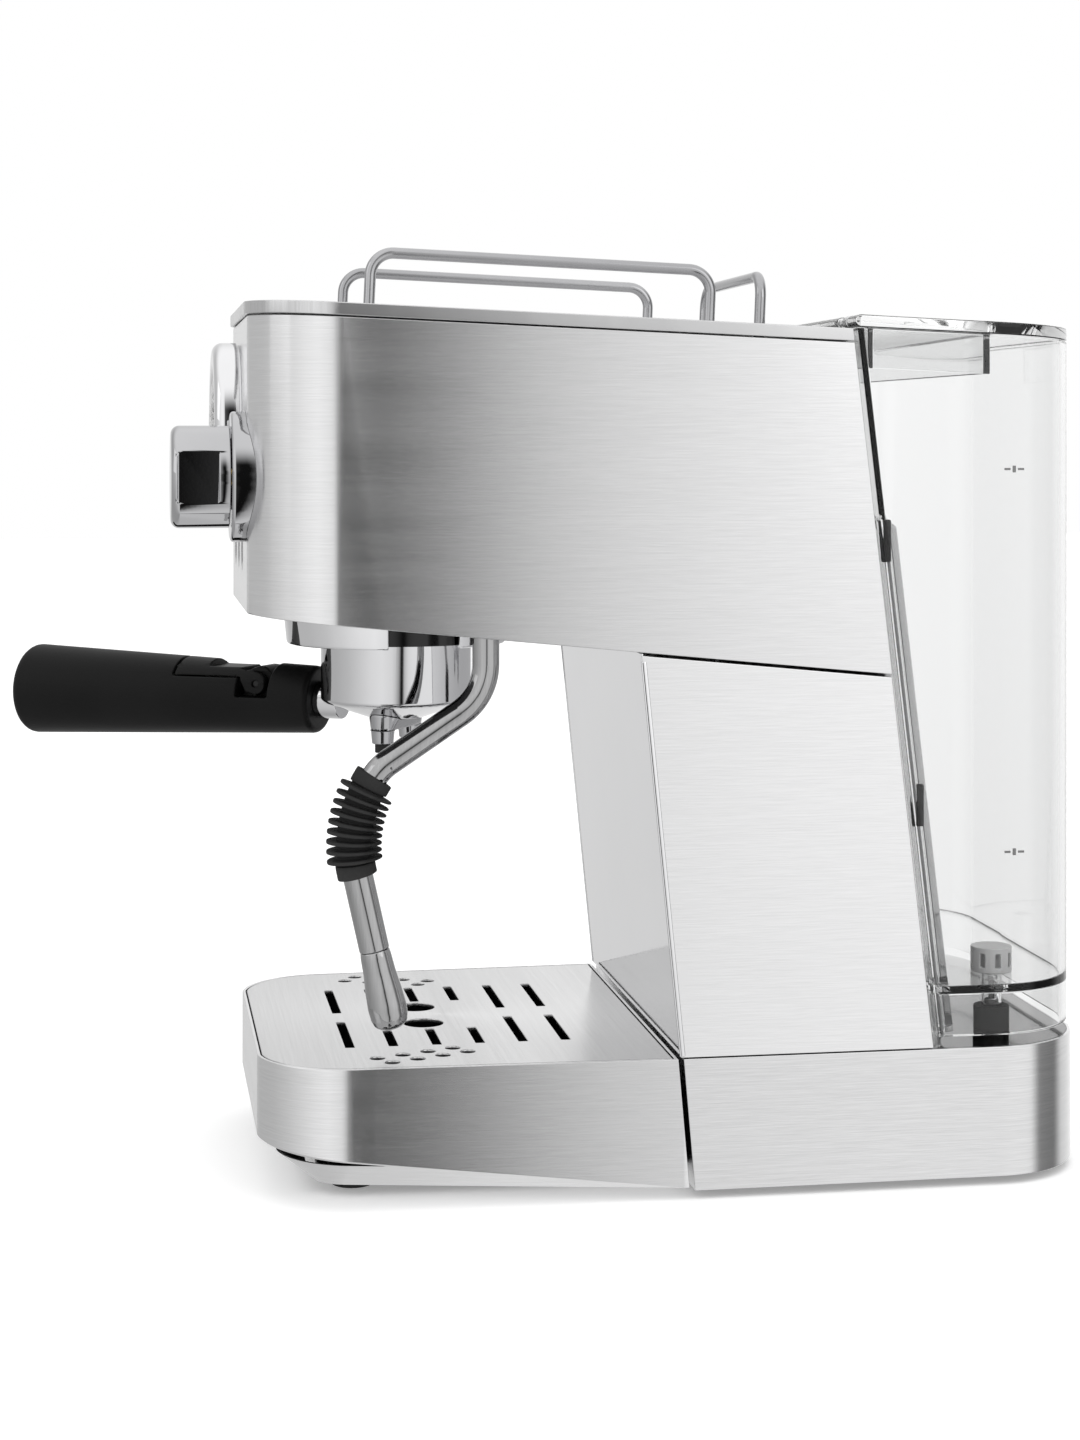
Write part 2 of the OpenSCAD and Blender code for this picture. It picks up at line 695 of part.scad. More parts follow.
// Group casting: bayonet flange, lug chamber and gasket groove
module group_head() {
    color("darkgray") translate([0, group_y, 0]) difference() {
        union() {
            translate([0, 0, flange_z0]) cylinder(h = head_step - flange_z0, r = head_r, $fn = round_fn);
            translate([0, 0, head_step - tiny]) cylinder(h = head_top - head_step + tiny, r = neck_top_r, $fn = round_fn);
        }
        translate([0, 0, flange_z0 - 1]) cylinder(h = flange_t + 2, r = flange_r, $fn = round_fn);
        translate([0, 0, flange_z0 + flange_t]) cylinder(h = gasket_z0 - 0.8 - flange_z0 - flange_t, r = chamber_r, $fn = round_fn);
        difference() {
            translate([0, 0, gasket_z0 - 1]) cylinder(h = gasket_z1 - gasket_z0 + 1, r = gasket_r1, $fn = round_fn);
            translate([0, 0, gasket_z0 + 1]) cylinder(h = 20, r = gasket_r0, $fn = round_fn);
        }
        translate([0, 0, gasket_z0 - 1]) cylinder(h = 3.2, r = gasket_r0 + tiny, $fn = round_fn);
        for (a = lug_angles)
            intersection() {
                wedge(handle_angle + a, entry_half, 80, flange_z0 - 1, flange_z0 + flange_t + 1);
                cylinder(h = far, r = chamber_r, $fn = round_fn);
            }
        translate([0, 0, gasket_z0]) cylinder(h = 12, r = 2.05, $fn = round_fn);
        for (a = [0, 120, 240])
            rotate([0, 0, a]) translate([12, 0, gasket_z0]) cylinder(h = far, r = 1.5, $fn = round_fn);
    }
}

gasket_r0 = 24.6;
gasket_r1 = 30;

module group_gasket() {
    color("#3a2a22") translate([0, group_y, gasket_z0]) difference() {
        cylinder(h = gasket_z1 - gasket_z0, r = gasket_r1, $fn = round_fn);
        translate([0, 0, -1]) cylinder(h = 20, r = gasket_r0, $fn = round_fn);
    }
}

screen_t = 1;

// Perforated shower screen
module shower_screen() {
    color("silver") translate([0, group_y, gasket_z0]) difference() {
        cylinder(h = screen_t + 1, r = gasket_r0 - 0.6, $fn = round_fn);
        translate([0, 0, screen_t]) cylinder(h = 5, r = gasket_r0 - 1.8, $fn = round_fn);
        translate([0, 0, -1]) cylinder(h = 5, r = 2.1, $fn = round_fn);
        for (ring = [1 : 3])
            for (i = [0 : 6 * ring - 1])
                rotate([0, 0, i * 60 / ring]) translate([2 + ring * 6, 0, -1])
                    cylinder(h = 5, r = 0.9, $fn = round_fn);
    }
}

module screen_screw() {
    color("gray") translate([0, group_y, gasket_z0]) {
        translate([0, 0, -1.6]) cylinder(h = 1.6, r = 4, $fn = round_fn);
        translate([0, 0, -tiny]) cylinder(h = 9, r = 2, $fn = round_fn);
    }
}

// ---------- Portafilter ----------

cup_r = cup_d / 2;
rim_z = 196.4;              // Upper edge of the portafilter
bore_r = 26;
inner_z = rim_z - basket_h - 3.5;
lug_z0 = flange_z0 + flange_t + 0.5;
handle_z = cup_z - 1.2;     // Height of the grip's axis
stud_r = 4;
neck_r = 7;
basket_flange_r = 27.6;
spring_z = 190;
spring_r = 0.7;

// Carries pieces drawn along +X to the handle's direction
module at_handle() {
    translate([0, group_y, 0]) rotate([0, 0, handle_angle]) children();
}

// Cast body with three lugs, outlet and neck
module portafilter_body() {
    color("lightgray") at_handle() difference() {
        union() {
            rotate_extrude($fn = round_fn) polygon([
                [0, cup_z - 7.2], [10.5, cup_z - 6.3], [cup_r - 8, cup_z - 3.1], [cup_r - 1, cup_z - 0.6],
                [cup_r, cup_z + 0.6], [cup_r, rim_z], [0, rim_z]]);
            for (a = lug_angles)
                intersection() {
                    wedge(a, lug_half, 80, lug_z0, lug_z0 + 3.3);
                    cylinder(h = far, r = chamber_r - 0.8, $fn = round_fn);
                }
            translate([cup_r - 6, 0, handle_z]) rotate([0, 90, 0])
                cylinder(h = grip_near - cup_r + 6, r = neck_r, $fn = round_fn);
        }
        translate([0, 0, inner_z]) cylinder(h = far, r = bore_r, $fn = round_fn);
        translate([0, 0, spring_z - spring_r - 0.3]) cylinder(h = 2 * spring_r + 0.6, r = bore_r + 0.9, $fn = round_fn);
        translate([0, 0, 0]) cylinder(h = far, r = 3, $fn = round_fn);
        translate([cup_r - 5, 0, handle_z]) rotate([0, 90, 0]) cylinder(h = 20, r = stud_r, $fn = round_fn);
    }
}

// Pressed steel coffee basket with a perforated floor
module filter_basket() {
    basket_z = rim_z + 0.3 - basket_h;
    color("silver") translate([0, group_y, 0]) difference() {
        union() {
            translate([0, 0, basket_z]) cylinder(h = basket_h, r = basket_d / 2, $fn = round_fn);
            translate([0, 0, rim_z + 0.3]) cylinder(h = 0.8, r = basket_flange_r, $fn = round_fn);
        }
        translate([0, 0, basket_z + 0.8]) cylinder(h = basket_h + 2, r = basket_d / 2 - 0.8, $fn = round_fn);
        for (ring = [1 : 3])
            for (i = [0 : 6 * ring - 1])
                rotate([0, 0, i * 60 / ring]) translate([ring * 6.5, 0, basket_z - 1])
                    cylinder(h = 3, r = 0.8, $fn = round_fn);
    }
}

// Sprung wire ring that grips the basket
module basket_spring() {
    color("gray") translate([0, group_y, spring_z]) rotate([0, 0, 20]) rotate_extrude(angle = 320, $fn = round_fn)
        translate([basket_d / 2 + spring_r + 0.05, 0]) circle(r = spring_r, $fn = round_fn);
}

spout_top_r = 4.9;
spout_low_r = 3.95;
spout_z1 = cup_z - 4.2;
spout_z0 = cup_z - 15.1;

// Twin spout on a bridge, set across the handle
module twin_spout() {
    color("lightgray") at_handle() difference() {
        union() {
            hull() for (side = [-1, 1])
                translate([0, side * spout_x, spout_z1 - 6]) {
                    cylinder(h = 1, r = spout_top_r - 0.5, $fn = small_fn);
                    translate([0, -side * 3, 5]) cylinder(h = 2.5, r = spout_top_r + 1.5, $fn = small_fn);
                }
            for (side = [-1, 1])
                translate([0, side * spout_x, spout_z0])
                    cylinder(h = spout_z1 - spout_z0, r1 = spout_low_r, r2 = spout_top_r, $fn = round_fn);
        }
        rotate_extrude($fn = round_fn) polygon([
            [0, cup_z - 7.3], [10.5, cup_z - 6.4], [cup_r - 8, cup_z - 3.2], [cup_r, cup_z - 1], [cup_r, cup_z + 9],
            [0, cup_z + 9]]);
        for (side = [-1, 1])
            translate([0, side * spout_x, spout_z0 - 1]) cylinder(h = 7, r = 2.9, $fn = round_fn);
    }
}

// Soft tips in the two spouts
module spout_tips() {
    color("#1a1a1a") at_handle() for (side = [-1, 1])
        translate([0, side * spout_x, spout_z0 - 3.3]) difference() {
            cylinder(h = 8.2, r = 2.85, $fn = round_fn);
            translate([0, 0, -1]) cylinder(h = 12, r = 1.9, $fn = round_fn);
        }
}

// Threaded stud that draws the grip against the neck
module handle_stud() {
    color("gray") at_handle() translate([cup_r - 4.9, 0, handle_z]) rotate([0, 90, 0])
        cylinder(h = 70, r = stud_r - 0.05, $fn = round_fn);
}

lever_pivot = 53;           // Distance of the lever's pin from the group axis
pivot_z = handle_z + 6;
boss_r = 6.3;
lever_far = 87.4;
lever_low = handle_z + 8.5; // Underside of the lever's bar
lever_flat = handle_z + 11.7;
cheek_in = 7.8;

// Turned form of the grip, along +X, with rounded ends
module grip_form(inset = 0) {
    r0 = grip_d0 / 2;
    r1 = grip_d1 / 2;
    round0 = 2;
    round1 = 4;
    translate([0, 0, handle_z]) rotate([0, 90, 0]) rotate_extrude($fn = round_fn) polygon(concat(
        [[0, grip_near + inset]],
        [for (a = [0 : 22.5 : 90]) [r0 - round0 - inset + round0 * sin(a), grip_near + inset + round0 - round0 * cos(a)]],
        [for (a = [0 : 15 : 90]) [r1 - round1 - inset + round1 * cos(a), grip_far - inset - round1 + round1 * sin(a)]],
        [[0, grip_far - inset + 0.6]]));
}

// Moulded grip, cut away on top for the basket lever
module handle_grip() {
    color("#161616") at_handle() difference() {
        grip_form();
        difference() {
            union() {
                translate([lever_pivot + 7, -30, lever_low - 0.5]) cube([lever_far - lever_pivot - 6.4, 60, 40]);
                translate([lever_pivot - 5.5, -30, pivot_z - 5]) cube([13, 60, 40]);
            }
            translate([lever_pivot, 0, pivot_z]) rotate([90, 0, 0])
                cylinder(h = 2 * (cheek_in - 0.35), r = boss_r, center = true, $fn = round_fn);
            translate([lever_pivot - 7, -(cheek_in - 0.35), 0]) cube([14, 2 * (cheek_in - 0.35), pivot_z]);
        }
        translate([lever_pivot, 0, pivot_z]) rotate([90, 0, 0])
            cylinder(h = 60, r = pin_r + shaft_slack, center = true, $fn = round_fn);
        translate([grip_near - 1, 0, handle_z]) rotate([0, 90, 0])
            cylinder(h = 70, r = stud_r, $fn = round_fn);
    }
}

pin_r = 1.2;

// Thumb lever that flips over the basket's rim
module basket_lever() {
    color("#2a2a2a") at_handle() difference() {
        intersection() {
            grip_form(0.05);
            union() {
                translate([lever_pivot + boss_r + 1, -30, lever_low]) cube([lever_far - lever_pivot - boss_r - 1.2, 60, lever_flat - lever_low]);
                translate([lever_far - 13, -30, lever_flat - tiny]) cube([12.6, 60, 20]);
                for (side = [-1, 1])
                    translate([0, side * (cheek_in + 2), 0]) rotate([90, 0, 0])
                        linear_extrude(4, center = true) union() {
                            translate([lever_pivot, pivot_z]) circle(r = 4, $fn = round_fn);
                            polygon([
                                [lever_pivot - 0.5, pivot_z - 4], [lever_pivot + 4, pivot_z - 3],
                                [lever_pivot + 6.8, lever_low - 0.1], [lever_pivot + 12, lever_low], [lever_pivot + 12, lever_flat],
                                [lever_pivot + 2, lever_flat - 1], [lever_pivot - 1, pivot_z + 3.8]]);
                        }
            }
        }
        translate([lever_pivot, 0, pivot_z]) rotate([90, 0, 0])
            cylinder(h = 60, r = pin_r + shaft_slack, center = true, $fn = round_fn);
    }
}

module lever_pin() {
    color("gray") at_handle() translate([lever_pivot, 0, pivot_z]) rotate([90, 0, 0])
        cylinder(h = 2 * (cheek_in + 3), r = pin_r, center = true, $fn = round_fn);
}

// ---------- Gauge ----------

bezel_round = 3.7;
glass_t = 1.6;
dial_y = nose_y - 2.5;
dial_t = 0.8;
case_back = nose_y + 24;
hub_r = 1.1;

// Chrome bezel with a rounded outer edge
module gauge_bezel() {
    r = gauge_d / 2;
    color("lightgray") translate([gauge_x, nose_y, gauge_z]) rotate([90, 0, 0]) rotate_extrude($fn = round_fn) polygon(concat(
        [[window_d / 2, gauge_out - 0.9], [window_d / 2 + 2.5, gauge_out]],
        [for (a = [90 : -15 : 0]) [r - bezel_round + bezel_round * cos(a), gauge_out - bezel_round + bezel_round * sin(a)]],
        [[r, 1], [r - 0.7, 0.9], [r - 0.7, 0], [case_r, 0], [case_r, gauge_out - 3.3], [window_d / 2, gauge_out - 3.3]]));
}

// Steel case that passes through the front of the housing
module gauge_case() {
    color("gray") difference() {
        along_y(gauge_x, gauge_z, nose_y - gauge_out + 3.3, case_back, case_r);
        along_y(gauge_x, gauge_z, nose_y - gauge_out + 3, case_back - 1.2, case_r - 1.2);
        along_y(gauge_x, gauge_z, case_back - 3, case_back + 3, 3.05);
    }
}

// Dial plate, with the gauge's movement and its hollow nipple behind it
module gauge_dial() {
    color("black") difference() {
        union() {
            along_y(gauge_x, gauge_z, dial_y, dial_y + dial_t, case_r - 1.3);
            along_y(gauge_x, gauge_z, dial_y + dial_t - tiny, case_back - 1.3, 9);
            along_y(gauge_x, gauge_z, case_back - 1.4, case_back + 8, 3);
        }
        along_y(gauge_x, gauge_z, dial_y - 1, dial_y + 6, hub_r + shaft_slack);
    }
}

needle_l = window_d / 2 - 4;
needle_rest = 135;          // Angle of the resting needle from the top, towards the user's left

module gauge_needle() {
    color("firebrick") {
        along_y(gauge_x, gauge_z, dial_y - 2, dial_y + 5.5, hub_r);
        along_y(gauge_x, gauge_z, dial_y - 2, dial_y - 0.8, 2.6);
        translate([gauge_x, dial_y - 0.8, gauge_z]) rotate([90, 0, 0]) linear_extrude(0.6) rotate([0, 0, needle_rest])
            polygon([[-1.1, -5], [1.1, -5], [0.3, needle_l], [-0.3, needle_l]]);
    }
}

// Domed clear lens held between the bezel and the case
module gauge_glass() {
    lens_r = window_d / 2 - 0.2;
    rim0 = gauge_out - 3.3 - glass_t;
    color("lightblue", 0.4) translate([gauge_x, nose_y, gauge_z]) rotate([90, 0, 0]) rotate_extrude($fn = round_fn) polygon([
        [case_r - 1.25, rim0], [case_r - 1.25, rim0 + glass_t], [lens_r, rim0 + glass_t],
        [lens_r, gauge_out - 1], [lens_r * 0.7, gauge_out + 0.1], [lens_r * 0.35, gauge_out + 0.8], [0, gauge_out + 1],
        [0, gauge_out - 0.6], [lens_r * 0.35, gauge_out - 0.8], [lens_r * 0.7, gauge_out - 1.5],
        [lens_r - 1.6, gauge_out - 2.6], [lens_r - 1.6, rim0]]);
}

// ---------- Steam knob, valve and buttons ----------

knob_y = nose_y - collar_out;  // Face of the collar
collar_skirt = 5;           // The collar reaches back this far to meet the housing's corner
stem_r = 3;
valve_r = 9;
valve_y0 = nose_y + 6;
valve_y1 = nose_y + 34;

// Chrome collar that overhangs the rounded corner of the housing
module knob_collar() {
    r = collar_d / 2;
    edge = 1.2;
    color("lightgray") difference() {
        translate([knob_x, nose_y, knob_z]) rotate([90, 0, 0]) difference() {
            rotate_extrude($fn = round_fn) polygon(concat(
                [[0, -collar_skirt], [r, -collar_skirt]],
                [for (a = [0 : 22.5 : 90]) [r - edge + edge * cos(a), collar_out - edge + edge * sin(a)]],
                [[0, collar_out]]));
            translate([0, 0, -collar_skirt - 1]) cylinder(h = 20, r = stem_r + 1, $fn = round_fn);
        }
        plan_slab(0, far, -0.03, nose_y);
    }
}

// Turned knob with two flats for the fingers
module steam_knob() {
    r = knob_d / 2;
    flat_x = r - 2.4;
    color("lightgray") translate([knob_x, knob_y - slack, knob_z]) rotate([90, 0, 0]) difference() {
        rotate_extrude($fn = round_fn) polygon(concat(
            [[0, 0], [r, 0]],
            [for (a = [0 : 15 : 90]) [r - 3 + 3 * cos(a), knob_l - slack - 3 + 3 * sin(a)]],
            [[0, knob_l - slack]]));
        for (side = [-1, 1])
            translate([side > 0 ? flat_x : -flat_x - 10, -9.5, 4]) cube([10, 19, knob_l - 6.5]);
        translate([0, 0, -1]) cylinder(h = 13, r = stem_r, $fn = round_fn);
    }
}

// Valve stem that turns with the knob
module valve_stem() {
    color("goldenrod") along_y(knob_x, knob_z, knob_y - 11, valve_y1 - 10, stem_r - 0.01);
}

// Brass steam valve behind the front of the housing
module steam_valve() {
    color("goldenrod") difference() {
        union() {
            along_y(knob_x, knob_z, valve_y0, valve_y1, valve_r);
            along_y(knob_x, knob_z, nose_y + sheet + 0.1, valve_y0 + tiny, valve_r - 3);
            translate([knob_x, valve_y1 - 8, knob_z]) cylinder(h = valve_r + 3, r = 4, $fn = round_fn);
            translate([knob_x, valve_y1 - 8, knob_z - valve_r - 3]) cylinder(h = valve_r + 3, r = 3.98, $fn = round_fn);
        }
        along_y(knob_x, knob_z, nose_y, valve_y1 - 9, stem_r + shaft_slack);
    }
}

// One push button with its plunger; the collar behind the sheet stops it from coming out
module push_button(i) {
    x = button_x0 + i * button_pitch;
    along_y(x, button_z, nose_y, nose_y + sheet + slack, button_d / 2);
    along_y(x, button_z, nose_y + sheet + slack - tiny, nose_y + sheet + 1.6, button_d / 2 + 1.5);
    along_y(x, button_z, nose_y + sheet + 1.6 - tiny, board_y - switch_h - button_travel - slack, 2);
}

module power_button() { color("gainsboro") push_button(0); }
module coffee_button() { color("gainsboro") push_button(1); }
module steam_button() { color("gainsboro") push_button(2); }

board_y = nose_y + 20;
switch_h = 4;

// Board behind the buttons, with its three switches and a few parts
module control_board() {
    board_h = 16;
    margin = 14;
    board_w = (button_names - 1) * button_pitch + 2 * margin;
    color("darkgreen") {
        translate([button_x0 - margin, board_y, button_z - board_h / 2]) cube([board_w, 1.6, board_h]);
        for (x = [button_x0 - margin + 3, button_x0 - margin + board_w - 3])
            along_y(x, button_z, nose_y + sheet, board_y + tiny, 2);
        for (i = [0 : button_names - 1])
            translate([button_x0 + i * button_pitch - 3, board_y - switch_h, button_z - 3]) cube([6, switch_h + tiny, 6]);
        translate([button_x0 - 6, board_y + 1.6 - tiny, button_z - 6]) cube([18, 4, 12]);
        for (i = [0 : 2])
            translate([button_x0 + 24 + i * 10, board_y + 1.6 - tiny, button_z]) rotate([-90, 0, 0])
                cylinder(h = 5, r = 3, $fn = round_fn);
    }
}

// ---------- Steam wand ----------

nut_z0 = floor_z(wand_y) + floor_up + floor_t + 0.1;
nut_h = 18;
ball_r = 7;
bend_turn = 56.3;           // Angle of the upper bend
bend_r = 20.5;
bend_z = 183.4;             // Where the upper bend starts
slant_l = 30;               // Straight stretch below the upper bend
entry_turn = 22.6;          // Angle of the bend above the boot
entry_r = 17.5;
boot_turn = 47.8;            // Angle of the bend in the boot
boot_bend_r = 43;
boot_lean = bend_turn - entry_turn;
end_lean = boot_turn - boot_lean;
joint_turn = 5.4;           // Angle from the tube's upper end to the boot's lower end
plug_turn = 2;              // Angle that the pipe reaches into the tube
wand_lean = 12.6;           // Lean of the lower tube

// Places on the wand's middle line, as Y and Z
p_bend = [wand_y - bend_r * (1 - cos(bend_turn)), bend_z - bend_r * sin(bend_turn)];
p_slant = p_bend + slant_l * [-sin(bend_turn), -cos(bend_turn)];
entry_centre = p_slant + entry_r * [cos(bend_turn), -sin(bend_turn)];
boot_centre = entry_centre + (boot_bend_r - entry_r) * [cos(boot_lean), -sin(boot_lean)];
p_joint = boot_centre + boot_bend_r * [-cos(end_lean - joint_turn), -sin(end_lean - joint_turn)];
p_tube_end = p_joint + froth_l * [sin(wand_lean), -cos(wand_lean)];

// Swivel nut under the group's chassis
module wand_nut() {
    color("lightgray") translate([wand_x, wand_y, 0]) difference() {
        translate([0, 0, nut_z0 - 3]) cylinder(h = nut_h + 3, r = nut_r, $fn = round_fn);
        translate([0, 0, nut_z0 - 4]) cylinder(h = 6, r = pipe_d / 2 + 0.4, $fn = round_fn);
        translate([0, 0, nut_z0 + 1]) cylinder(h = 2 * ball_r + 0.8, r = ball_r + slack, $fn = round_fn);
        translate([0, 0, nut_z0]) cylinder(h = 40, r = 2.5, $fn = round_fn);
    }
}

// Part of a ring about a horizontal axis, standing in the wand's plane
module arc_piece(centre, r, start, turn, section_r, bore_r = 0) {
    translate([wand_x, centre[0], centre[1]]) rotate([90, 0, 90]) rotate([0, 0, start])
        rotate_extrude(angle = turn, $fn = round_fn) translate([r, 0]) difference() {
            circle(r = section_r, $fn = round_fn);
            if (bore_r > 0) circle(r = bore_r, $fn = round_fn);
        }
}

// Straight round piece between two places on the middle line
module straight_piece(p, q, r1, r2, lap = 0) {
    d = q - p;
    translate([wand_x, p[0], p[1]]) rotate([-atan2(d[0], d[1]), 0, 0])
        translate([0, 0, -lap]) cylinder(h = norm(d) + 2 * lap, r1 = r1, r2 = r2, $fn = round_fn);
}

// Polished steam pipe with its swivel ball
module wand_pipe() {
    color("lightgray") {
        translate([wand_x, wand_y, bend_z - 0.2]) cylinder(h = nut_z0 + 1.6 + ball_r - bend_z, d = pipe_d + 0.04, $fn = round_fn);
        translate([wand_x, wand_y, nut_z0 + 1.4 + ball_r]) sphere(r = ball_r, $fn = round_fn);
        arc_piece([wand_y - bend_r, bend_z], bend_r, -bend_turn, bend_turn, pipe_d / 2);
        straight_piece(p_slant, p_bend, pipe_d / 2 + 0.02, pipe_d / 2 + 0.02, 0.2);
        arc_piece(entry_centre, entry_r, 180 - bend_turn, entry_turn, pipe_d / 2);
        arc_piece(boot_centre, boot_bend_r, 180 - boot_lean - 0.3, boot_turn - joint_turn + plug_turn + 0.3, pipe_d / 2 - 0.03);
    }
}

boot_core = 12.2;
collar_turn = 6.1;

// Ribbed rubber boot that the user holds
module wand_boot() {
    pitch = (boot_turn - 2 * collar_turn) / boot_ribs;
    first = 180 - boot_lean;
    color("#151515") difference() {
        union() {
            arc_piece(boot_centre, boot_bend_r, first + 0.5, boot_turn - 1, boot_core / 2);
            for (start = [first, first + boot_turn - collar_turn])
                arc_piece(boot_centre, boot_bend_r, start, collar_turn, boot_core / 2 + 0.9);
            for (i = [0 : boot_ribs - 1])
                arc_piece(boot_centre, boot_bend_r, first + collar_turn + (i + 0.32) * pitch, pitch * 0.38, boot_d / 2);
        }
        arc_piece(boot_centre, boot_bend_r, first - 2, boot_turn + 4, pipe_d / 2 + shaft_slack);
        straight_piece(p_tube_end, p_joint, froth_d / 2 + shaft_slack, froth_d / 2 + shaft_slack, 0.05);
    }
}

// Steel tube that the pipe plugs into inside the boot
module froth_tube() {
    color("lightgray") difference() {
        straight_piece(p_tube_end, p_joint, froth_d / 2, froth_d / 2);
        arc_piece(boot_centre, boot_bend_r, 180 - boot_lean, boot_turn - joint_turn + plug_turn + 0.05, pipe_d / 2);
    }
}

// Bottle-shaped steam nozzle
module froth_nozzle() {
    r = froth_d / 2;
    color("lightgray") translate([wand_x, p_tube_end[0], p_tube_end[1]]) rotate([180 + wand_lean, 0, 0]) difference() {
        rotate_extrude($fn = round_fn) polygon([
            [0, 0], [r - 0.2, 0], [r + 0.1, 2], [r + 0.4, 8], [r + 1.1, 14], [r + 1.5, 20], [r + 1.2, nozzle_l - 4],
            [r + 0.4, nozzle_l - 1.6], [r - 1.4, nozzle_l - 0.3], [0, nozzle_l]]);
        translate([0, 0, nozzle_l - 5]) cylinder(h = 6, r = 0.8, $fn = round_fn);
    }
}

// ---------- Water tank ----------

tank_z0 = base_top + tank_lift;
tank_in = 1.2;              // The tank's wall is set in from the skirt
floor_level = base_top + tank_floor;
lid_gap = 0.4;
lid_z0 = top_z0 - 4.1;      // Top of the lid at its front edge
lid_slope = top_slope;
lid_front = back_y(300) + 0.8;
hinge_y = lid_front + lid_t / 2 + 0.2;
lid_half = base_w / 2 - tank_in;
ear_x = base_w / 2 - 22;    // Hinge ears on the tank's rim
ear_w = 6;
hinge_pin_r = 0.9;
seat_z = tank_z0 + 5;       // Seat of the outlet valve
rib_top = 235;              // Top of the channels for the guide rails
function lid_top(y) = lid_z0 - (y - lid_front) * tan(lid_slope);
function tank_front(z) = back_y(z) + tank_gap;
hinge_z = lid_top(hinge_y) - lid_t / 2;

// Solid form of the tank between two levels
module tank_form(inset, z0, z1) {
    intersection() {
        plan_slab(z0, z1, tank_in + inset);
        side_cut([
            [tank_front(z0) + inset, z0], [far, z0], [far, z1], [tank_front(z1) + inset, z1]]);
    }
}

// Clear tank with channels for the guide rails, an outlet pipe and hinge ears
module water_tank() {
    rim = lid_t + lid_gap;
    color("white", 0.3) difference() {
        union() {
            difference() {
                intersection() {
                    tank_form(0, tank_z0, lid_z0);
                    side_cut([[0, 0], [far, 0], [far, lid_top(far) - rim], [0, lid_top(0) - rim]]);
                }
                tank_form(tank_wall, floor_level, lid_z0 + 1);
                tank_form(tank_wall, tank_z0 - 1, floor_level - tank_wall);
            }
            for (side = [-1, 1]) {
                tank_channel(side, guide_w / 2 + tank_wall + 0.8, guide_h + 1.6 + tank_wall, rib_top);
                translate([side * ear_x - ear_w / 2, 0, 0]) rotate([90, 0, 90]) linear_extrude(ear_w) union() {
                    translate([hinge_y, hinge_z]) circle(r = lid_t / 2 - 0.4, $fn = round_fn);
                    polygon([
                        [hinge_y - lid_t / 2 + 0.4, hinge_z], [hinge_y + lid_t / 2 - 0.4, hinge_z],
                        [hinge_y + lid_t / 2 - 0.4, hinge_z - 9], [tank_front(hinge_z - 9) + 0.5, hinge_z - 9],
                        [tank_front(hinge_z - 5) + 0.5, hinge_z - 5]]);
                }
                translate([side * 34, back_y0 + 14, base_top + slack])
                    cylinder(h = floor_level - tank_wall / 2 - base_top - slack, r = 4, $fn = round_fn);
            }
            translate([-valve_x, valve_y, base_top + slack])
                cylinder(h = floor_level - tank_wall / 2 - base_top - slack, r = 4, $fn = round_fn);
            translate([valve_x, valve_y, tank_z0 - 1.5]) cylinder(h = floor_level - tank_wall / 2 - tank_z0 + 1.5, r = pipe_r, $fn = round_fn);
        }
        for (side = [-1, 1]) {
            tank_channel(side, guide_w / 2 + 0.8, guide_h + 1.6, rib_top - tank_wall, 1);
            translate([side * ear_x, hinge_y, hinge_z]) rotate([0, 90, 0])
                cylinder(h = 16, r = hinge_pin_r + shaft_slack, center = true, $fn = round_fn);
        }
        translate([valve_x, valve_y, seat_z]) cylinder(h = 30, r = pipe_r - 0.9, $fn = round_fn);
        translate([valve_x, valve_y, tank_z0 - 3]) cylinder(h = 30, r = 1.6, $fn = round_fn);
    }
}

// Upright channel in the tank's front wall, from its lower edge to above the guide rail
module tank_channel(side, half, depth, z1, below = 0) {
    translate([side * guide_x - half, 0, 0]) rotate([90, 0, 90]) linear_extrude(2 * half)
        polygon([
            [tank_front(tank_z0 - below) - (below > 0 ? 1 : -0.5), tank_z0 - below], [tank_front(tank_z0 - below) + depth, tank_z0 - below],
            [tank_front(z1 - 4) + depth, z1 - 4], [tank_front(z1) + depth - 4, z1], [tank_front(z1) - (below > 0 ? 1 : -0.5), z1]]);
}

// Clear lid with an inner skirt, notched for the hinge ears
module tank_lid() {
    skirt_y0 = hinge_y + 4;
    skirt_y1 = rear_y - 38;
    skirt_in = tank_in + tank_wall + 4;
    color("white", 0.3) difference() {
        union() {
            intersection() {
                plan_slab(200, far, tank_in);
                side_cut(concat(
                    [[far, lid_top(far) - lid_t], [far, lid_top(far)]],
                    [for (a = [90 : 15 : 270]) [hinge_y, hinge_z] + lid_t / 2 * [cos(a - lid_slope), sin(a - lid_slope)]]));
            }
            intersection() {
                plan_slab(200, far, skirt_in);
                side_cut([
                    [skirt_y0, lid_top(skirt_y0) - lid_t - lid_skirt], [skirt_y1, lid_top(skirt_y1) - lid_t - lid_skirt],
                    [skirt_y1, lid_top(skirt_y1) - 1], [skirt_y0, lid_top(skirt_y0) - 1]]);
            }
        }
        intersection() {
            plan_slab(200, far, skirt_in + wall);
            side_cut([
                [skirt_y0 + wall, 200], [skirt_y1 - wall, 200],
                [skirt_y1 - wall, lid_top(skirt_y1) - lid_t], [skirt_y0 + wall, lid_top(skirt_y0) - lid_t]]);
        }
        for (side = [-1, 1]) {
            translate([side * ear_x - ear_w / 2 - 0.5, lid_front - 1, 200]) cube([ear_w + 1, lid_t + 2.2, far]);
            translate([side * ear_x, hinge_y, hinge_z]) rotate([0, 90, 0])
                cylinder(h = 16, r = hinge_pin_r, center = true, $fn = round_fn);
        }
    }
}

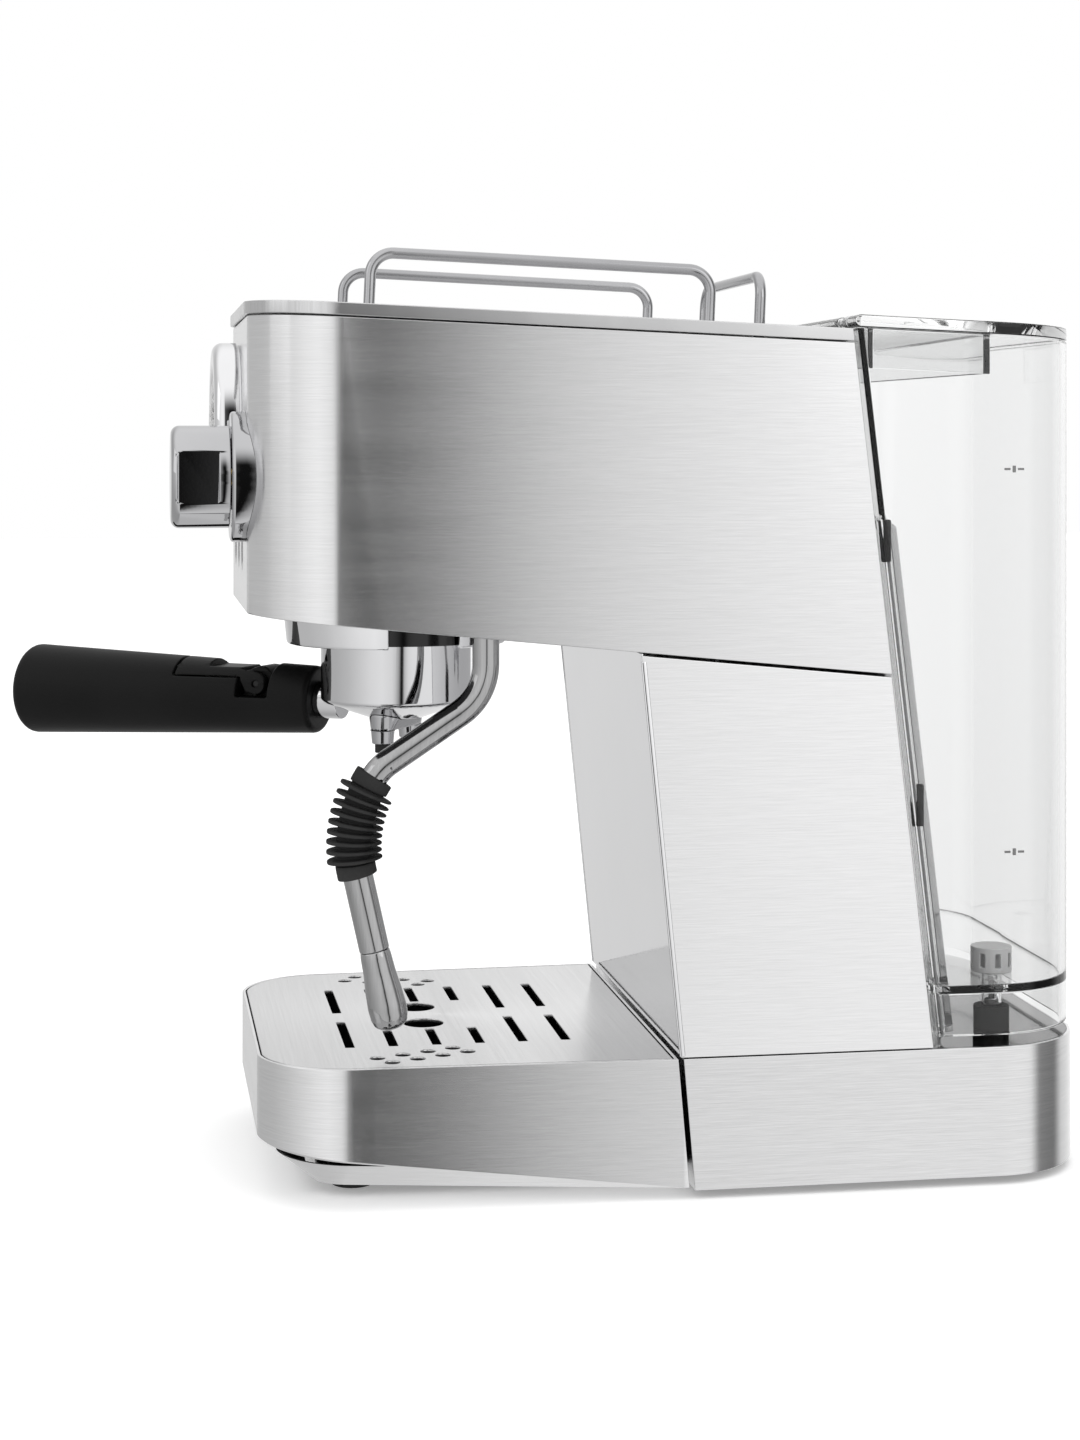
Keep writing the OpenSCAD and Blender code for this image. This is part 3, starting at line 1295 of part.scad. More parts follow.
// Two steel pins of the lid's hinge
module lid_pin() {
    color("gray") for (side = [-1, 1])
        translate([side * ear_x, hinge_y, hinge_z]) rotate([0, 90, 0])
            cylinder(h = 15, r = hinge_pin_r, center = true, $fn = round_fn);
}

// Rubber outlet valve in the tank's pipe
module tank_valve() {
    color("#333333") translate([valve_x, valve_y, 0]) {
        translate([0, 0, base_top + pin_h + slack]) cylinder(h = floor_level - 5 - base_top - pin_h, r = 1.1, $fn = round_fn);
        translate([0, 0, seat_z + slack]) cylinder(h = 1.8, r = pipe_r - 1.3, $fn = round_fn);
    }
}

spring_turns = 4;
spring_wire = 0.35;
spring_mean = 2;

// Coil spring between the valve and the filter
module valve_spring() {
    z0 = seat_z + slack + 1.8;
    z1 = floor_level + 0.4;
    pitch = (z1 - z0) / spring_turns;
    half = spring_wire / pitch * 360;
    steps = [-1 : 0.25 : 1];
    function wire_at(u, side) = let (w = spring_wire * sqrt(max(0.02, 1 - u * u)), a = u * half)
        (spring_mean + side * w) * [cos(a), sin(a)];
    color("gray") translate([valve_x, valve_y, z0])
        linear_extrude(z1 - z0, twist = -360 * spring_turns, slices = 16 * spring_turns)
            polygon(concat([for (u = steps) wire_at(u, 1)], [for (u = steps) wire_at(-u, -1)]));
}

// Mesh cap over the outlet
module intake_filter() {
    color("gray") translate([valve_x, valve_y, floor_level]) difference() {
        cylinder(h = 9, r = 7.5, $fn = round_fn);
        difference() {
            translate([0, 0, -1]) cylinder(h = 9, r = 6.5, $fn = round_fn);
            difference() {
                translate([0, 0, 0.4]) cylinder(h = far, r = 3.4, $fn = round_fn);
                cylinder(h = far, r = 2.6 - 0.9, $fn = round_fn);
            }
        }
        for (a = [0 : 45 : 315])
            rotate([0, 0, a]) translate([5, -1, 2]) cube([5, 2, 5]);
    }
}

// ---------- Inside ----------

chassis_t = 2;
chassis_x = 48;             // Half width of the chassis shelf
chassis_z = head_top;
spine_x = 45;
spine_in = 34;              // Distance of the spine behind the splash plate
boiler_r = 33;

// Folded steel chassis: a shelf that holds the group, and a spine down the column to the pan
module chassis() {
    shelf_y0 = nose_y + 33;
    shelf_y1 = 30;
    foot_z = foot_h + pan_t;
    function on_floor(y) = floor_z(y) + floor_up + floor_t;
    color("gray") difference() {
        union() {
            translate([-chassis_x, shelf_y0, chassis_z]) cube([2 * chassis_x, shelf_y1 - shelf_y0, chassis_t]);
            for (side = [-1, 1])
                translate([side > 0 ? chassis_x - chassis_t : -chassis_x, 0, 0]) rotate([90, 0, 90]) linear_extrude(chassis_t)
                    polygon([
                        [shelf_y0, on_floor(shelf_y0)], [splash_y0, on_floor(splash_y0)],
                        [shelf_y1, on_floor(splash_y0)], [shelf_y1, chassis_z + 1], [shelf_y0, chassis_z + 1]]);
            side_cut([
                [splash_y(chassis_z) + spine_in, chassis_z + 1], [splash_y(foot_z) + spine_in, foot_z],
                [splash_y(foot_z) + spine_in + chassis_t, foot_z], [splash_y(chassis_z) + spine_in + chassis_t, chassis_z + 1]],
                spine_x);
            translate([-spine_x, splash_y(foot_z) + spine_in - 14, foot_z]) cube([2 * spine_x, 15, chassis_t]);
        }
        translate([0, group_y, 0]) cylinder(h = far, r = 13.5, $fn = round_fn);
        translate([-spine_x + 8, splash_y(120), 120]) cube([2 * spine_x - 16, 60, 50]);
    }
}

boiler_h1 = 12;
boiler_h2 = 14;
port_h = 7;
port_x = 15;
port_y = 14;

// Aluminium boiler on top of the group
module boiler() {
    color("darkgray") translate([0, group_y, chassis_z + chassis_t]) {
        cylinder(h = boiler_h1, r = boiler_r, $fn = round_fn);
        translate([0, 0, boiler_h1 - tiny]) cylinder(h = boiler_h2 + tiny, r = boiler_r - 7, $fn = round_fn);
        translate([0, 0, -chassis_t]) cylinder(h = chassis_t + tiny, r = 13.5, $fn = round_fn);
        for (side = [-1, 1])
            translate([side * port_x, port_y, boiler_h1 + boiler_h2 - tiny]) cylinder(h = port_h + tiny, r = 3.5, $fn = round_fn);
    }
}

pump_r = 20;
pump_half = 48;             // Half length over both nipples
pump_y = 56;
pump_z = 84;
mount_x = 32;

// Vibration pump lying across the foot of the column
module pump() {
    color("dimgray") translate([0, pump_y, pump_z]) rotate([0, 90, 0]) {
        cylinder(h = 44, r = pump_r, center = true, $fn = round_fn);
        cylinder(h = 84, r = 8, center = true, $fn = round_fn);
        cylinder(h = 2 * pump_half, r = 3.5, center = true, $fn = round_fn);
    }
}

// Rubber cradles that carry the pump on the pan
module pump_mounts() {
    color("#222222") for (side = [-1, 1])
        difference() {
            translate([side * mount_x - 4, pump_y - 12, foot_h + pan_t]) cube([8, 24, pump_z + 4 - foot_h - pan_t]);
            translate([side * mount_x, pump_y, pump_z]) rotate([0, 90, 0]) cylinder(h = 20, r = 8, center = true, $fn = round_fn);
            translate([side * mount_x - 6, pump_y - 6, pump_z]) cube([12, 12, 20]);
        }
}

hose_r = 3;
elbow_r = 3.4;

// A hose through a list of places, with an elbow at each turn
module hose(path) {
    for (i = [0 : len(path) - 2]) {
        p = path[i];
        d = path[i + 1] - p;
        translate(p) rotate([0, acos(d[2] / norm(d)), atan2(d[1], d[0])])
            cylinder(h = norm(d), r = hose_r, $fn = round_fn);
        if (i > 0) translate(p) sphere(r = elbow_r, $fn = round_fn);
    }
}

// Water lines: tank to pump, pump to boiler, boiler to steam valve, steam valve to wand
module water_hoses() {
    under = 26;
    side_x = 54;
    riser_y = 36;
    high_z = 276;
    port_z = chassis_z + chassis_t + boiler_h1 + boiler_h2 + port_h;
    valve_mid = valve_y1 - 8;
    color("whitesmoke") {
        hose([[valve_x, valve_y, base_top - deck_t - 6], [valve_x, valve_y, under], [side_x, pump_y, under],
            [side_x, pump_y, pump_z], [pump_half, pump_y, pump_z]]);
        hose([[-pump_half, pump_y, pump_z], [-side_x, pump_y, pump_z], [-side_x, pump_y, 150], [-side_x, riser_y, 170],
            [-side_x, riser_y, high_z], [-port_x, riser_y, high_z], [-port_x, group_y + port_y, high_z],
            [-port_x, group_y + port_y, port_z]]);
        hose([[port_x, group_y + port_y, port_z], [port_x, group_y + port_y, high_z], [knob_x, group_y + port_y, high_z],
            [knob_x, valve_mid, high_z], [knob_x, valve_mid, knob_z + valve_r + 3]]);
        hose([[knob_x, valve_mid, knob_z - valve_r - 3], [knob_x, valve_mid, 226], [wand_x, valve_mid, 226],
            [wand_x, wand_y, 226], [wand_x, wand_y, nut_z0 + nut_h]]);
    }
}

housing_wrap();
top_plate();
side_rails();
rear_rail();
housing_floor();
column_front();
column_sides();
rear_panel();
chassis();
base_skirt();
base_pan();
rubber_feet();
tank_deck();
valve_socket();
cable_gland();
drip_tray();
drip_basin();
drip_grid();
group_shroud();
group_head();
group_gasket();
shower_screen();
screen_screw();
portafilter_body();
filter_basket();
basket_spring();
twin_spout();
spout_tips();
handle_stud();
handle_grip();
basket_lever();
lever_pin();
gauge_bezel();
gauge_case();
gauge_dial();
gauge_needle();
gauge_glass();
knob_collar();
steam_knob();
valve_stem();
steam_valve();
wand_nut();
wand_pipe();
wand_boot();
froth_tube();
froth_nozzle();
water_tank();
tank_lid();
lid_pin();
tank_valve();
valve_spring();
intake_filter();
boiler();
pump();
pump_mounts();
water_hoses();
control_board();
power_button();
coffee_button();
steam_button();
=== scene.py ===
import math
import bpy
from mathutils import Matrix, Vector


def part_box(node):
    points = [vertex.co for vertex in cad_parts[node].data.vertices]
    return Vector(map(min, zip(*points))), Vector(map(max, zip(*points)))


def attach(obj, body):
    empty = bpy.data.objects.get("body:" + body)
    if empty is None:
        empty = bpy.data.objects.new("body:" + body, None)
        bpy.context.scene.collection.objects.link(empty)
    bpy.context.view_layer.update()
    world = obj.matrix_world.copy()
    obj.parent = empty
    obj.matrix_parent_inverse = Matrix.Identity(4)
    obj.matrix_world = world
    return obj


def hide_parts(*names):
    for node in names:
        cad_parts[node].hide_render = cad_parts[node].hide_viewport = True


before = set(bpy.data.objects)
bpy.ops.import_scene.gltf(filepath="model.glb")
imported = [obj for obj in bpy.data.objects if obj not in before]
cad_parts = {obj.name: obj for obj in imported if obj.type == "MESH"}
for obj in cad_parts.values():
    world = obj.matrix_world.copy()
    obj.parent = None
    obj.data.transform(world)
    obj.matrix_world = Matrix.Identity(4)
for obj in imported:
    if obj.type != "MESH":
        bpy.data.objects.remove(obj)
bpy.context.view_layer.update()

# Camera and studio
# The machine stands on a pale floor in a white studio, seen from its right side with the front to the left.
# A dark flag stands beyond the front corner, so that polished steel has something dark to show.
camera = bpy.data.objects.new("studio_camera", bpy.data.cameras.new("studio_camera"))
bpy.context.scene.collection.objects.link(camera)
camera.data.lens = 65.0
camera.data.sensor_width = 36.0
camera.data.shift_y = -0.1944
camera.data.clip_start = 0.02
camera.location = (0.9592, -0.1959, 0.2617)
camera.rotation_euler = Vector((-0.98696, 0.16095, 0.0)).to_track_quat("-Z", "Y").to_euler()
bpy.context.scene.camera = camera
bpy.context.scene.view_settings.view_transform = "Standard"

bpy.ops.object.select_all(action="DESELECT")
bpy.ops.mesh.primitive_plane_add(size=12.0, location=(0.0, 0.0, 0.0))
floor = bpy.context.object
floor.name = "studio_floor"
bpy.ops.object.mode_set(mode="EDIT")
bpy.ops.mesh.subdivide(number_cuts=6)
bpy.ops.object.mode_set(mode="OBJECT")
floor.visible_glossy = False
floor.visible_transmission = False
paper = bpy.data.materials.new("studio_paper")
paper.use_nodes = True
paper_skin = paper.node_tree.nodes["Principled BSDF"]
paper_skin.inputs["Roughness"].default_value = 0.9
paper_skin.inputs["Specular IOR Level"].default_value = 0.1
paper_skin.inputs["Emission Color"].default_value = (1.0, 1.0, 1.0, 1)
paper_skin.inputs["Emission Strength"].default_value = 0.26
paper_fibres = paper.node_tree.nodes.new("ShaderNodeTexNoise")
paper_fibres.inputs["Scale"].default_value = 30.0
paper_tone = paper.node_tree.nodes.new("ShaderNodeValToRGB")
paper_tone.color_ramp.elements[0].color = (0.93, 0.93, 0.93, 1)
paper_tone.color_ramp.elements[1].color = (0.95, 0.95, 0.95, 1)
paper.node_tree.links.new(paper_fibres.outputs["Fac"], paper_tone.inputs["Fac"])
paper.node_tree.links.new(paper_tone.outputs["Color"], paper_skin.inputs["Base Color"])
floor.data.materials.append(paper)

studio = bpy.data.worlds.new("studio_air")
bpy.context.scene.world = studio
studio.use_nodes = True
air = studio.node_tree
air.nodes.clear()
to_world = air.nodes.new("ShaderNodeOutputWorld")
glow = air.nodes.new("ShaderNodeBackground")
aim = air.nodes.new("ShaderNodeTexCoord")
aim_parts = air.nodes.new("ShaderNodeSeparateXYZ")
bearing = air.nodes.new("ShaderNodeMath")
bearing.operation = "ARCTAN2"
turn = air.nodes.new("ShaderNodeMapRange")
turn.inputs["From Min"].default_value = -math.pi
turn.inputs["From Max"].default_value = math.pi
walls = air.nodes.new("ShaderNodeValToRGB")
walls.color_ramp.interpolation = "LINEAR"
# How bright the walls are by compass bearing in degrees; the flag is the dark stretch near 2 degrees.
wall_tones = (
    (-180, 0.80), (-150, 0.56), (-110, 0.60), (-85, 0.70), (-65, 0.84), (-45, 1.00), (-28, 1.08),
    (-12, 0.98), (-7.7, 0.84), (-4.1, 0.56), (-1.8, 0.36), (0.4, 0.01), (3.5, 0.01), (4.9, 0.42),
    (6.0, 0.68), (8.5, 0.84), (12.0, 1.00), (18, 1.08), (56, 1.12), (68, 0.30), (95, 0.22),
    (110, 0.85), (140, 1.04), (172, 1.02), (180, 0.80))
walls.color_ramp.elements[1].position = 1.0
for angle, tone in wall_tones[1:-1]:
    walls.color_ramp.elements.new((angle + 180) / 360)
for step, (angle, tone) in zip(walls.color_ramp.elements, wall_tones):
    step.color = (tone, tone, tone, 1)
low_walls = air.nodes.new("ShaderNodeMapRange")
low_walls.inputs["From Min"].default_value = -0.35
low_walls.inputs["From Max"].default_value = 0.05
low_walls.inputs["To Min"].default_value = 0.86
dimmed = air.nodes.new("ShaderNodeVectorMath")
dimmed.operation = "SCALE"
aim_height = air.nodes.new("ShaderNodeMapRange")
aim_height.interpolation_type = "SMOOTHSTEP"
aim_height.inputs["From Min"].default_value = 0.35
aim_height.inputs["From Max"].default_value = 0.85
roof = air.nodes.new("ShaderNodeMix")
roof.data_type = "RGBA"
roof.inputs["B"].default_value = (1.1, 1.1, 1.1, 1)
looked_at = air.nodes.new("ShaderNodeLightPath")
backing = air.nodes.new("ShaderNodeMix")
backing.data_type = "RGBA"
backing.inputs["B"].default_value = (1.0, 1.0, 1.0, 1)
wire = air.links.new
wire(aim.outputs["Generated"], aim_parts.inputs[0])
wire(aim_parts.outputs["Y"], bearing.inputs[0])
wire(aim_parts.outputs["X"], bearing.inputs[1])
wire(bearing.outputs[0], turn.inputs["Value"])
wire(turn.outputs["Result"], walls.inputs["Fac"])
wire(aim_parts.outputs["Z"], aim_height.inputs["Value"])
wire(aim_height.outputs["Result"], roof.inputs["Factor"])
wire(aim_parts.outputs["Z"], low_walls.inputs["Value"])
wire(walls.outputs["Color"], dimmed.inputs["Vector"])
wire(low_walls.outputs["Result"], dimmed.inputs["Scale"])
wire(dimmed.outputs["Vector"], roof.inputs["A"])
wire(looked_at.outputs["Is Camera Ray"], backing.inputs["Factor"])
wire(roof.outputs["Result"], backing.inputs["A"])
wire(backing.outputs["Result"], glow.inputs["Color"])
wire(glow.outputs["Background"], to_world.inputs["Surface"])

lamp_target = Vector((0.0, 0.0, 0.15))
for name, place, size, power, mirrored_in_metal in (
    ("top_softbox", (0.1, -0.2, 1.6), 1.4, 4.5, False),
    ("front_softbox", (0.3, -1.7, 0.9), 1.0, 1.5, True),
    ("side_softbox", (1.5, 0.9, 0.9), 1.0, 1.5, True),
):
    lamp = bpy.data.objects.new(name, bpy.data.lights.new(name, "AREA"))
    bpy.context.scene.collection.objects.link(lamp)
    lamp.data.size = size
    lamp.data.energy = power
    lamp.location = place
    lamp.visible_glossy = mirrored_in_metal
    lamp.rotation_euler = (lamp_target - Vector(place)).to_track_quat("-Z", "Y").to_euler()


# Base pan
# The black moulded pan that closes the machine from below and carries its feet.
# Its edges are rounded by the mould and its skin has a fine spark finish.
def finished(node, name, body, material, edge, bends=()):
    """The made piece of a solid: its corners broken by edge metres, its curves smooth and its faces flat.

    bends lists pairs of distances along Y: the line where a bend in the sheet ends, and where its flat begins."""
    weld, coplanar, corner_angle, smooth_angle, line_reach = 0.000004, 0.15, 32.0, 38.0, 0.0006
    piece = bpy.data.objects.new(name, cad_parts[node].data.copy())
    bpy.context.scene.collection.objects.link(piece)
    bpy.ops.object.select_all(action="DESELECT")
    bpy.context.view_layer.objects.active = piece
    piece.select_set(True)
    bpy.ops.object.mode_set(mode="EDIT")
    bpy.ops.mesh.select_all(action="SELECT")
    bpy.ops.mesh.remove_doubles(threshold=weld)
    bpy.ops.mesh.dissolve_limited(angle_limit=math.radians(coplanar))
    for bend_end, flat_start in bends:
        bpy.ops.mesh.select_all(action="SELECT")
        bpy.ops.mesh.bisect(plane_co=(0.0, flat_start, 0.0), plane_no=(0.0, 1.0, 0.0))
    bpy.ops.object.mode_set(mode="OBJECT")
    if edge:
        broken = piece.modifiers.new("broken_edge", "BEVEL")
        broken.width = edge
        broken.segments = 2
        broken.limit_method = "ANGLE"
        broken.angle_limit = math.radians(corner_angle)
        broken.use_clamp_overlap = False
        broken.miter_outer = "MITER_ARC"
        bpy.ops.object.modifier_apply(modifier="broken_edge")
    bpy.ops.object.shade_smooth_by_angle(angle=math.radians(smooth_angle))
    flat = piece.modifiers.new("flat_faces", "WEIGHTED_NORMAL")
    flat.keep_sharp = True
    flat.weight = 60
    if bends:
        eased = piece.vertex_groups.new(name="eased_bends")
        on_bend_ends = [
            corner.index for corner in piece.data.vertices
            if any(abs(corner.co.y - bend_end) < line_reach for bend_end, flat_start in bends)]
        eased.add(on_bend_ends, 1.0, "REPLACE")
        flat.vertex_group = "eased_bends"
        flat.invert_vertex_group = True
    bpy.ops.object.modifier_apply(modifier="flat_faces")
    piece.vertex_groups.clear()
    piece.data.materials.clear()
    piece.data.materials.append(material)
    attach(piece, body)
    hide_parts(node)
    return piece


def new_group(name, inputs, outputs):
    """An empty node group with its named sockets, and its input and output nodes."""
    group = bpy.data.node_groups.new(name, "ShaderNodeTree")
    for label, kind, value in inputs:
        socket = group.interface.new_socket(label, in_out="INPUT", socket_type=kind)
        if value is not None:
            socket.default_value = value
    for label, kind in outputs:
        group.interface.new_socket(label, in_out="OUTPUT", socket_type=kind)
    return group, group.nodes.new("NodeGroupInput"), group.nodes.new("NodeGroupOutput")


mould_skin, skin_in, skin_out = new_group(
    "Mould Skin",
    (("Place", "NodeSocketVector", None), ("Grain", "NodeSocketFloat", 2500.0), ("Patch", "NodeSocketFloat", 18.0)),
    (("Pits", "NodeSocketFloat"), ("Patches", "NodeSocketFloat")))
skin_pits = mould_skin.nodes.new("ShaderNodeTexNoise")
skin_pits.inputs["Detail"].default_value = 2.0
skin_patches = mould_skin.nodes.new("ShaderNodeTexNoise")
skin_patches.inputs["Detail"].default_value = 4.0
wire = mould_skin.links.new
wire(skin_in.outputs["Place"], skin_pits.inputs["Vector"])
wire(skin_in.outputs["Grain"], skin_pits.inputs["Scale"])
wire(skin_in.outputs["Place"], skin_patches.inputs["Vector"])
wire(skin_in.outputs["Patch"], skin_patches.inputs["Scale"])
wire(skin_pits.outputs["Fac"], skin_out.inputs["Pits"])
wire(skin_patches.outputs["Fac"], skin_out.inputs["Patches"])


def textured(name, texture, surface_values, texture_values):
    """A new material whose surface takes the given values, with one shared texture group beside it."""
    material = bpy.data.materials.new(name)
    material.use_nodes = True
    nodes = material.node_tree.nodes
    skin = nodes["Principled BSDF"]
    surface = nodes.new("ShaderNodeGroup")
    surface.node_tree = texture
    for node, values in ((skin, surface_values), (surface, texture_values)):
        for label, value in values.items():
            node.inputs[label].default_value = value
    return material, nodes, material.node_tree.links.new, skin, surface


def drifting(nodes, wire, skin, source, dark, light, tone_stops, rough_low, rough_high, gloss_span):
    """Colour and roughness that follow one texture, each between two values."""
    colour = nodes.new("ShaderNodeValToRGB")
    for stop, position, tone in zip(colour.color_ramp.elements, tone_stops, (dark, light)):
        stop.position = position
        stop.color = (*tone, 1)
    gloss = nodes.new("ShaderNodeMapRange")
    gloss.inputs["From Min"].default_value, gloss.inputs["From Max"].default_value = gloss_span
    gloss.inputs["To Min"].default_value = rough_low
    gloss.inputs["To Max"].default_value = rough_high
    wire(source[0], colour.inputs["Fac"])
    wire(source[-1], gloss.inputs["Value"])
    wire(colour.outputs["Color"], skin.inputs["Base Color"])
    wire(gloss.outputs["Result"], skin.inputs["Roughness"])


def embossed(nodes, wire, skin, height, strength, distance):
    """Fine relief on a surface, distance metres deep at full strength."""
    relief = nodes.new("ShaderNodeBump")
    relief.inputs["Strength"].default_value = strength
    relief.inputs["Distance"].default_value = distance
    wire(height, relief.inputs["Height"])
    wire(relief.outputs["Normal"], skin.inputs["Normal"])


def moulded(name, dark, light, rough_low, rough_high, grain=2500.0, depth=0.15, metal=0.0, coat=0.0, shine=0.25):
    """A moulded, cast or painted skin: fine pits under a colour and a gloss that drift slightly."""
    material, nodes, wire, skin, surface = textured(
        name, mould_skin,
        {"Metallic": metal, "Specular IOR Level": shine, "Coat Weight": coat, "Coat Roughness": 0.06}, {"Grain": grain})
    place = nodes.new("ShaderNodeTexCoord")
    wire(place.outputs["Object"], surface.inputs["Place"])
    drifting(
        nodes, wire, skin, [surface.outputs["Patches"]], dark, light, (0.3, 0.7), rough_low, rough_high, (0.3, 0.7))
    embossed(nodes, wire, skin, surface.outputs["Pits"], depth, 0.0002)
    return material


pan_black = moulded("pan_black", (0.022, 0.022, 0.023), (0.032, 0.032, 0.033), 0.42, 0.55)
finished("base_pan", "base_pan_moulding", "machine", pan_black, 0.0005)

# Rubber feet
# Four turned rubber feet pushed into the pan, with a soft matt skin that grips the table.
foot_rubber = moulded("foot_rubber", (0.018, 0.018, 0.018), (0.03, 0.03, 0.03), 0.75, 0.9, grain=1500.0, depth=0.25)
finished("rubber_feet", "rubber_feet_set", "machine", foot_rubber, 0.0004)

# Base skirt
# A band of stainless sheet bent round the back of the base, brushed along its length.
# Its front edges lean with the seam to the drip tray.
brush_lines, brush_in, brush_out = new_group(
    "Brush Lines",
    (("Place", "NodeSocketVector", None), ("Broad", "NodeSocketFloat", 1.0), ("Fine", "NodeSocketFloat", 3.3)),
    (("Lines", "NodeSocketFloat"), ("Drift", "NodeSocketFloat")))
broad_lines = brush_lines.nodes.new("ShaderNodeTexNoise")
broad_lines.inputs["Detail"].default_value = 3.0
fine_lines = brush_lines.nodes.new("ShaderNodeTexNoise")
fine_lines.inputs["Detail"].default_value = 2.0
both_lines = brush_lines.nodes.new("ShaderNodeMix")
both_lines.data_type = "FLOAT"
both_lines.inputs["Factor"].default_value = 0.5
slow_drift = brush_lines.nodes.new("ShaderNodeTexNoise")
slow_drift.inputs["Scale"].default_value = 0.05
slow_drift.inputs["Detail"].default_value = 2.0
wire = brush_lines.links.new
wire(brush_in.outputs["Place"], broad_lines.inputs["Vector"])
wire(brush_in.outputs["Broad"], broad_lines.inputs["Scale"])
wire(brush_in.outputs["Place"], fine_lines.inputs["Vector"])
wire(brush_in.outputs["Fine"], fine_lines.inputs["Scale"])
wire(brush_in.outputs["Place"], slow_drift.inputs["Vector"])
wire(broad_lines.outputs["Fac"], both_lines.inputs["A"])
wire(fine_lines.outputs["Fac"], both_lines.inputs["B"])
wire(both_lines.outputs["Result"], brush_out.inputs["Lines"])
wire(slow_drift.outputs["Fac"], brush_out.inputs["Drift"])


def brushed(name, dark, light, rough_low, rough_high, run=(45.0, 45.0, 2200.0), depth=0.2, stretch=0.88):
    """Brushed metal: lines that run along the sheet in its colour, its gloss and its height."""
    cool = 1.005
    material, nodes, wire, skin, surface = textured(
        name, brush_lines, {"Metallic": 1.0, "Anisotropic": stretch, "Anisotropic Rotation": 0.25}, {})
    place = nodes.new("ShaderNodeTexCoord")
    along = nodes.new("ShaderNodeMapping")
    along.inputs["Scale"].default_value = run
    wire(place.outputs["Object"], along.inputs["Vector"])
    wire(along.outputs["Vector"], surface.inputs["Place"])
    drifting(
        nodes, wire, skin, [surface.outputs["Lines"], surface.outputs["Drift"]],
        (dark, dark, dark * cool), (light, light, light * cool), (0.32, 0.68), rough_low, rough_high, (0.3, 0.7))
    embossed(nodes, wire, skin, surface.outputs["Lines"], depth, 0.00006)
    return material


skirt_steel = brushed("skirt_steel", 0.68, 0.80, 0.20, 0.23)
finished("base_skirt", "base_skirt_sheet", "machine", skirt_steel, 0.00025)

# Tank deck
# The glossy black moulded deck that the water tank stands on, let into the back of the skirt.
deck_black = moulded(
    "deck_black", (0.008, 0.008, 0.009), (0.012, 0.012, 0.013), 0.10, 0.16, grain=900.0, depth=0.02, coat=0.6)
finished("tank_deck", "tank_deck_moulding", "machine", deck_black, 0.0004)

# Valve socket and cable gland
# A rubber socket in the deck takes the tank's outlet pipe; a black gland at the back guides the mains lead.
finished("valve_socket", "valve_socket_rubber", "machine", foot_rubber, 0.0003)
finished("cable_gland", "cable_gland_moulding", "machine", pan_black, 0.0004)

# Column
# A polished splash plate at the front, and two brushed side panels, each with a bright bead along its front fold.
# The plate and the panels stand on the base and end in a narrow joint under the housing.
hand_haze, haze_in, haze_out = new_group(
    "Hand Haze", (("Place", "NodeSocketVector", None), ("Size", "NodeSocketFloat", 14.0)),
    (("Haze", "NodeSocketFloat"), ("Specks", "NodeSocketFloat")))
haze_cloud = hand_haze.nodes.new("ShaderNodeTexNoise")
haze_cloud.inputs["Detail"].default_value = 5.0
haze_cloud.inputs["Roughness"].default_value = 0.6
haze_specks = hand_haze.nodes.new("ShaderNodeTexNoise")
haze_specks.inputs["Scale"].default_value = 900.0
haze_specks.inputs["Detail"].default_value = 1.0
wire = hand_haze.links.new
wire(haze_in.outputs["Place"], haze_cloud.inputs["Vector"])
wire(haze_in.outputs["Size"], haze_cloud.inputs["Scale"])
wire(haze_in.outputs["Place"], haze_specks.inputs["Vector"])
wire(haze_cloud.outputs["Fac"], haze_out.inputs["Haze"])
wire(haze_specks.outputs["Fac"], haze_out.inputs["Specks"])


def polished(name, dark, light, rough_low, rough_high, size=14.0, depth=0.01):
    """Polished or plated metal: a clear mirror with a slight haze and the last trace of the wheel."""
    material, nodes, wire, skin, surface = textured(name, hand_haze, {"Metallic": 1.0}, {"Size": size})
    place = nodes.new("ShaderNodeTexCoord")
    wire(place.outputs["Object"], surface.inputs["Place"])
    drifting(nodes, wire, skin, [surface.outputs["Haze"]], dark, light, (0.3, 0.7), rough_low, rough_high, (0.3, 0.75))
    embossed(nodes, wire, skin, surface.outputs["Specks"], depth, 0.0001)
    return material


bright_steel = polished("bright_steel", (0.80, 0.80, 0.81), (0.86, 0.86, 0.87), 0.05, 0.10)
splash_mirror = polished("splash_mirror", (0.90, 0.90, 0.91), (0.95, 0.95, 0.96), 0.06, 0.11)
finished("column_front", "splash_plate", "machine", splash_mirror, 0.0003)
column_steel = brushed("column_steel", 0.80, 0.88, 0.20, 0.23)
column = finished("column_sides", "column_side_sheets", "machine", column_steel, 0.00035)
joint_closed_by = 0.0012
rim_depth = 0.001
top_edge = max((side for side in column.data.polygons if side.normal.z > 0.9), key=lambda side: side.area)
rim_point, rim_normal = top_edge.center.copy(), top_edge.normal.copy()
for corner in column.data.vertices:
    if (corner.co - rim_point).dot(rim_normal) > -rim_depth:
        corner.co.z += joint_closed_by


def block(place, size, edge, steps, turn=(0.0, 0.0, 0.0)):
    """A bar of the given size with its edges rounded, left as the active object with its place in its mesh."""
    bpy.ops.object.select_all(action="DESELECT")
    bpy.ops.mesh.primitive_cube_add(size=1.0, location=place, rotation=turn, scale=size)
    bpy.ops.object.transform_apply(location=True, rotation=True, scale=True)
    bpy.ops.object.mode_set(mode="EDIT")
    bpy.ops.mesh.select_all(action="SELECT")
    bpy.ops.mesh.bevel(offset=edge, segments=steps, affect="EDGES")
    bpy.ops.object.mode_set(mode="OBJECT")
    return bpy.context.object


